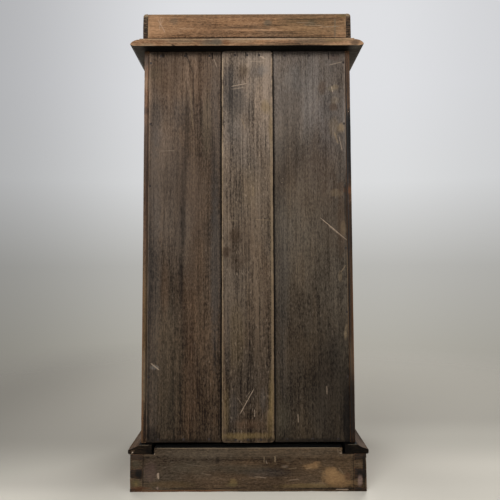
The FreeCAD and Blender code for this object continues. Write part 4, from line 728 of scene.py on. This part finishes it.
LEFT_LIP = [
    patch(-174, 560, 14, 80, BLACK, 1.0), patch(-174, 600, 14, 44, BLACK, 1.0),
    patch(-174, 300, 14, 230, EARTH_AND_SHADOW, 0.85), patch(-174, 440, 14, 60, BLACK, 0.6),
    stroke(-176.8, 360, -176.8, 90, 1.2, RUST, 0.4), patch(-174, 497, 8, 7, RUST, 0.6),
    patch(-174, 690, 14, 60, EARTH_AND_SHADOW, 0.55), stroke(-171.0, 738, -171.0, 80, 2.2, HOLE_AND_SHADOW, 0.9),
    spot(-174.6, 633.4, 1.6, PALE, 0.8), patch(-174, 140, 12, 70, HOLE_AND_SHADOW, 0.7), patch(-174, 210, 10, 40, TAN, 0.12),
    stroke(-173.5, 740, -174.5, 645, 1.6, HOLE_AND_SHADOW, 0.5), patch(-174, 120, 14, 70, HOLE_AND_SHADOW, 0.6),
]
MOULDING_MARKS = [
    # Painted highlights: the first two strokes are the lit top arrises of the moulding ends.
    stroke(163, 75.2, 181, 75.2, 1.2, GREIGE_AND_HIGHLIGHT, 0.4), stroke(-163, 75.2, -181, 75.2, 1.1, GREIGE_AND_HIGHLIGHT, 0.35),
    spot(190, 63.0, 3.8, PALE, 1.0), stroke(186, 66, 193, 65.6, 1.6, UMBER, 0.6), patch(164, 66, 6, 8, BLACK, 0.8),
    patch(-164, 66, 6, 8, BLACK, 0.8),
]

# How the back is tinted by height: towards the floor, and with painted light higher up.
FOOT_RIGHT = ((0.58, 0.54, 0.47), (1.24, 1.27, 1.34))
FOOT_MIDDLE = ((0.46, 0.42, 0.37), (1.44, 1.48, 1.58))
FOOT_LEFT = ((0.40, 0.37, 0.32), (1.28, 1.36, 1.60))
# On the side panels' lips the factor higher up is below one: painted shade under the top.
LIP_RIGHT = ((0.54, 0.57, 0.56), (0.88, 0.92, 1.00))
LIP_LEFT = ((0.40, 0.37, 0.34), (0.84, 0.86, 0.90))
# The tones of the top's underside.
UNDER_TOP = ((60, 52, 45), (118, 110, 100))

# The worn boards by body and slot. Each has its node, its finish, its grain and what its wood shows.
BOARDS = [
    ("cupboard", "back_wood", [
        ("back_board_right", BACK_RIGHT, "z", dict(marks=RIGHT_MARKS, foot=FOOT_RIGHT)),
        ("back_board_middle", BACK_MIDDLE, "z", dict(marks=MIDDLE_MARKS, foot=FOOT_MIDDLE)),
        ("back_board_left", BACK_LEFT, "z", dict(marks=LEFT_MARKS, foot=FOOT_LEFT)),
    ]),
    ("cupboard", "case_wood", [
        ("gallery_back", GALLERY, "x", dict(marks=GALLERY_MARKS)),
        ("gallery_side_left", GALLERY, "y", dict(marks=GALLERY_END_MARKS)),
        ("gallery_side_right", GALLERY, "y", dict(marks=GALLERY_END_MARKS)),
        ("top_board", TOP, "x", dict(marks=TOP_MARKS, under=UNDER_TOP)),
        ("side_panel_left", SIDE, "z", dict(marks=LEFT_LIP, foot=LIP_LEFT)),
        ("side_panel_right", SIDE, "z", dict(marks=RIGHT_LIP, foot=LIP_RIGHT)),
        ("plinth_back", PLINTH, "x", dict(marks=PLINTH_MARKS, over=0.059)),
        ("plinth_left", PLINTH_SIDE, "y", dict(marks=PLINTH_MARKS)),
        ("plinth_right", PLINTH_SIDE, "y", dict(marks=PLINTH_MARKS)),
        ("plinth_front", CASE, "x", {}),
        ("plinth_moulding_front", CASE, "x", {}),
        ("plinth_moulding_left", MOULDING_IN_SHADE, "y", dict(marks=MOULDING_MARKS, over=0.0747)),
        ("plinth_moulding_right", MOULDING, "y", dict(marks=MOULDING_MARKS, over=0.0747)),
        ("drawer_divider_rail", CASE, "x", {}),
    ]),
    ("cupboard", "inner_wood", [
        ("top_rail_front", CASE, "x", {}),
        ("bottom_board", CASE, "x", {}),
    ]),
    ("door", "case_wood", [
        ("door_stile_hinge", CASE, "z", {}),
        ("door_stile_latch", CASE, "z", {}),
        ("door_rail_top", CASE, "x", {}),
        ("door_rail_bottom", CASE, "x", {}),
        ("door_panel", CASE, "z", {}),
    ]),
    ("drawer", "case_wood", [
        ("drawer_front", CASE, "x", {}),
    ]),
]

# The boards that are worn differently from the rest.
WEAR = {
    "top_board": dict(bevel=1.6, sculpt=round_ends),
    "side_panel_left": dict(chip=0.25),
    "side_panel_right": dict(chip=0.25),
    "door_panel": dict(crisp=0.1),
}

# The nodes that keep their shape: the wooden ones with finish and grain, then the metal ones.
PLAIN = [
    ("door_panel_moulding", CASE, "mitred"), ("latch_knob", KNOB, "y"), ("drawer_knob", KNOB, "y"),
    ("top_rail_back", RAW, "x"), ("drawer_kicker_left", RAW, "y"), ("drawer_kicker_right", RAW, "y"),
    ("drawer_runner_left", RAW, "y"), ("drawer_runner_right", RAW, "y"), ("drawer_stops", RAW, "x"),
    ("shelf", RAW, "x"), ("shelf_bearer_left", RAW, "y"), ("shelf_bearer_right", RAW, "y"),
    ("plinth_glue_blocks", RAW, "z"), ("door_stop_strip", RAW, "z"), ("drawer_side_left", RAW, "y"),
    ("drawer_side_right", RAW, "y"), ("drawer_back", RAW, "x"), ("drawer_bottom", RAW, "x"),
]
BRASS_NODES = [
    "hinge_leaf_case_upper", "hinge_leaf_case_lower", "hinge_leaf_door_upper", "hinge_leaf_door_lower",
    "hinge_pin_upper", "hinge_pin_lower", "hinge_screws_case", "hinge_screws_door", "latch_keeper", "latch_spindle",
    "latch_tongue",
]
IRON_NODES = ["back_nails", "top_screws", "drawer_knob_screw"]


def make_boards():
    """Gives every board its wood and a worn copy, each with the next seed, and returns the last one."""
    seed = 0
    for body, slot, boards in BOARDS:
        for name, finish, grain, looks in boards:
            seed += 1
            material = wood(name, finish, grain, seed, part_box(name), **looks)
            age(name, material, slot, body, seed, **WEAR.get(name, {}))
    return seed


def finish_plain_nodes(first_seed):
    """Gives every other node its wood or metal."""
    for seed, (name, finish, grain) in enumerate(PLAIN, start=first_seed):
        dress(nodes[name], wood(name, finish, grain, seed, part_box(name)))
    brass = worn_metal("brass", (158, 124, 70), (62, 46, 26), 0.9, 0.35, 160.0)
    iron = worn_metal("iron", (44, 34, 30), (24, 14, 10), 0.35, 0.6, 400.0)
    for material, names in ((brass, BRASS_NODES), (iron, IRON_NODES)):
        for name in names:
            dress(nodes[name], material)


# The surroundings. Left and right are the camera's. The floor's and the backdrop's changes of shade are painted light
# and shade. A change of shade is given as the place where it starts, in metres, the place where it ends, the shade
# before and the shade after.

FLOOR = linear(166, 162, 153)
FLOOR_RADIUS, FLOOR_FADE, FLOOR_SIDES = 1.9, 0.75, 96
FLOOR_BEHIND = (-0.14, 0.24, 1.0, 1.8)
FLOOR_FAR_LEFT = (0.25, 0.75, 1.0, 0.68)
FLOOR_LEFT, FLOOR_LEFT_SHADE = (0.12, 0.30), (0.12, 0.20, 0.80, 1.0)
FLOOR_RIGHT, FLOOR_RIGHT_SHADE = (-0.32, -0.14), 0.97
FLOOR_RIGHT_FRONT, FLOOR_RIGHT_BACK = (-0.30, -0.12, 0.90, 1.08), (0.02, 0.14, 1.0, 0.86)
FLOOR_NEAR_START, FLOOR_NEAR_END, FLOOR_NEAR_SIDES = (0.08, 0.18), (0.24, 0.60, 1.0, 0.0), (0.12, 0.22, 0.38, 0.0)

# The backdrop's tones by the slope of the view, and its changes of shade by the view's sideways share.
BACKDROP = [
    (-0.42, (214, 211, 202)), (-0.31, (186, 182, 173)), (-0.22, (174, 171, 163)), (-0.13, (174, 171, 162)),
    (0.0, (184, 183, 179)), (0.14, (219, 220, 221)), (0.30, (223, 224, 227)),
]
BACKDROP_LEVEL = 0.5  # where a level view lies on the colour ramp
BACKDROP_LEFT, BACKDROP_LEFT_SHADE = (0.08, 0.46), (-0.40, -0.28, 0.84, 0.59)
BACKDROP_RIGHT = (-0.46, -0.20, 0.86, 1.0)
WORLD_LIGHT = 0.29

# Each lamp: its name, place, aim, power, size and spread in degrees.
LAMPS = [
    ("key", (0.85, 2.35, 1.25), (0.05, 0.16, 0.86), 9.2, 1.0, 72),
    ("fill", (-1.3, 1.9, 1.3), (0, 0, 0.6), 4.0, 1.2, 120),
    ("front_key", (-0.9, -2.2, 1.7), (0, 0, 0.5), 30.0, 1.1, 140),
    ("front_fill", (1.3, -1.9, 1.2), (0, 0, 0.4), 12.0, 1.2, 140),
    ("overhead", (0.0, 0.1, 2.6), (0, 0, 0), 8.0, 1.4, 140),
]

# The camera, as fitted to the photograph. Tilt and roll are in degrees.
EYE = (-0.00415, 1.16025, 0.3683)
TILT, ROLL = 3.98, -0.19
FOCAL = 589 / 500  # the focal length, with the picture's width as one
SENSOR = 36.0
SHIFT = -0.05
CLIP_START = 0.01


def floor_painted_light(shader, place):
    """The floor's painted light and shade at a place: lightest behind the cupboard's back, darker beside it."""
    x, y = shader.parts(place)[:2]
    shade = shader.times(shader.ramp(y, *FLOOR_BEHIND), shader.ramp(x, *FLOOR_FAR_LEFT))
    left = shader.ramp(x, *FLOOR_LEFT, 1.0, shader.ramp(y, *FLOOR_LEFT_SHADE))
    right = shader.times(shader.ramp(y, *FLOOR_RIGHT_FRONT), shader.ramp(y, *FLOOR_RIGHT_BACK))
    right = shader.ramp(x, *FLOOR_RIGHT, shader.times(right, FLOOR_RIGHT_SHADE), 1.0)
    shade = shader.times(shade, shader.times(left, right))
    # Painted light just behind the cupboard, where the front lamps' shadow falls.
    near = shader.times(shader.ramp(y, *FLOOR_NEAR_START), shader.ramp(y, *FLOOR_NEAR_END))
    near = shader.times(near, shader.ramp(shader.maths("ABSOLUTE", x), *FLOOR_NEAR_SIDES))
    return shader.times(shade, shader.added(near, 1.0))


def make_floor():
    """A pale floor with painted light and shade that fades out into the backdrop and can't be seen from below."""
    shape = bmesh.new()
    bmesh.ops.create_circle(shape, cap_ends=True, segments=FLOOR_SIDES, radius=FLOOR_RADIUS)
    mesh = bpy.data.meshes.new("floor")
    shape.to_mesh(mesh)
    shape.free()
    floor = bpy.data.objects.new("floor", mesh)
    bpy.context.scene.collection.objects.link(floor)
    material = bpy.data.materials.new("floor")
    shader = emptied(material)
    place = shader.node("ShaderNodeTexCoord").outputs["Object"]
    pale = shader.node("ShaderNodeBsdfDiffuse", {"Color": shader.shaded(FLOOR, floor_painted_light(shader, place))})
    open_air = shader.node("ShaderNodeBsdfTransparent")
    faded = shader.ramp(shader.vector("LENGTH", place), FLOOR_FADE, FLOOR_RADIUS)
    hidden = shader.maths("MAXIMUM", faded, shader.node("ShaderNodeNewGeometry").outputs["Backfacing"])
    blend = shader.node("ShaderNodeMixShader", {0: hidden, 1: pale.outputs[0], 2: open_air.outputs[0]})
    shader.node("ShaderNodeOutputMaterial", {0: blend.outputs[0]})
    dress(floor, material)


def backdrop(shader, way):
    """The backdrop's colour in a direction: pale low down and high up, greyer between, painted shade at both sides.
    """
    x, y, z = shader.parts(way)
    level = shader.vector("LENGTH", shader.joined(x, y, 0.0))
    height = shader.maths("DIVIDE", z, level)
    side = shader.maths("DIVIDE", x, level)
    tones = shader.node("ShaderNodeValToRGB", {0: shader.added(height, BACKDROP_LEVEL)})
    stops = tones.color_ramp.elements
    for stop, (slope, tone) in ((stops[0], BACKDROP[0]), (stops[1], BACKDROP[-1])):
        stop.position, stop.color = slope + BACKDROP_LEVEL, linear(*tone)
    for slope, tone in BACKDROP[1:-1]:
        stops.new(slope + BACKDROP_LEVEL).color = linear(*tone)
    left = shader.ramp(side, *BACKDROP_LEFT, 1.0, shader.ramp(height, *BACKDROP_LEFT_SHADE))
    right = shader.ramp(side, *BACKDROP_RIGHT)
    return shader.shaded(tones.outputs[0], shader.times(left, right))


def make_world():
    """What shows behind the object, and an even light from all round."""
    world = bpy.data.worlds.new("studio")
    bpy.context.scene.world = world
    shader = emptied(world)
    tone = backdrop(shader, shader.node("ShaderNodeTexCoord").outputs["Generated"])
    seen = shader.node("ShaderNodeLightPath").outputs
    shown = shader.maths("MAXIMUM", seen["Is Camera Ray"], seen["Is Glossy Ray"])
    shown = shader.maths("MAXIMUM", shown, seen["Is Transmission Ray"])
    behind = shader.node("ShaderNodeBackground", {0: tone, 1: 1.0})
    light = shader.node("ShaderNodeBackground", {0: WHITE, 1: WORLD_LIGHT})
    both = shader.node("ShaderNodeMixShader", {0: shown, 1: light.outputs[0], 2: behind.outputs[0]})
    shader.node("ShaderNodeOutputWorld", {0: both.outputs[0]})


def make_lamps():
    """Square lamps, each turned towards its aim."""
    for name, place, aim, power, size, spread in LAMPS:
        lamp = bpy.data.lights.new(name, "AREA")
        lamp.shape = "SQUARE"
        lamp.size = size
        lamp.energy = power
        lamp.spread = math.radians(spread)
        obj = bpy.data.objects.new(name, lamp)
        obj.location = place
        obj.rotation_euler = (Vector(aim) - Vector(place)).to_track_quat("-Z", "Y").to_euler()
        bpy.context.scene.collection.objects.link(obj)


def make_camera():
    """A camera behind the cupboard, looking towards -Y."""
    camera = bpy.data.cameras.new("camera")
    camera.sensor_width = SENSOR
    camera.lens = SENSOR * FOCAL
    camera.shift_y = SHIFT
    camera.clip_start = CLIP_START
    obj = bpy.data.objects.new("camera", camera)
    turned = Euler((math.radians(90 + TILT), 0.0, math.pi)).to_matrix()
    rolled = turned @ Matrix.Rotation(math.radians(ROLL), 3, "Z")
    obj.matrix_world = Matrix.Translation(EYE) @ rolled.to_4x4()
    bpy.context.scene.collection.objects.link(obj)
    bpy.context.scene.camera = obj


make_camera()
last_seed = make_boards()
finish_plain_nodes(last_seed + 1)
make_floor()
make_world()
make_lamps()
bpy.context.scene.view_settings.view_transform = "Standard"
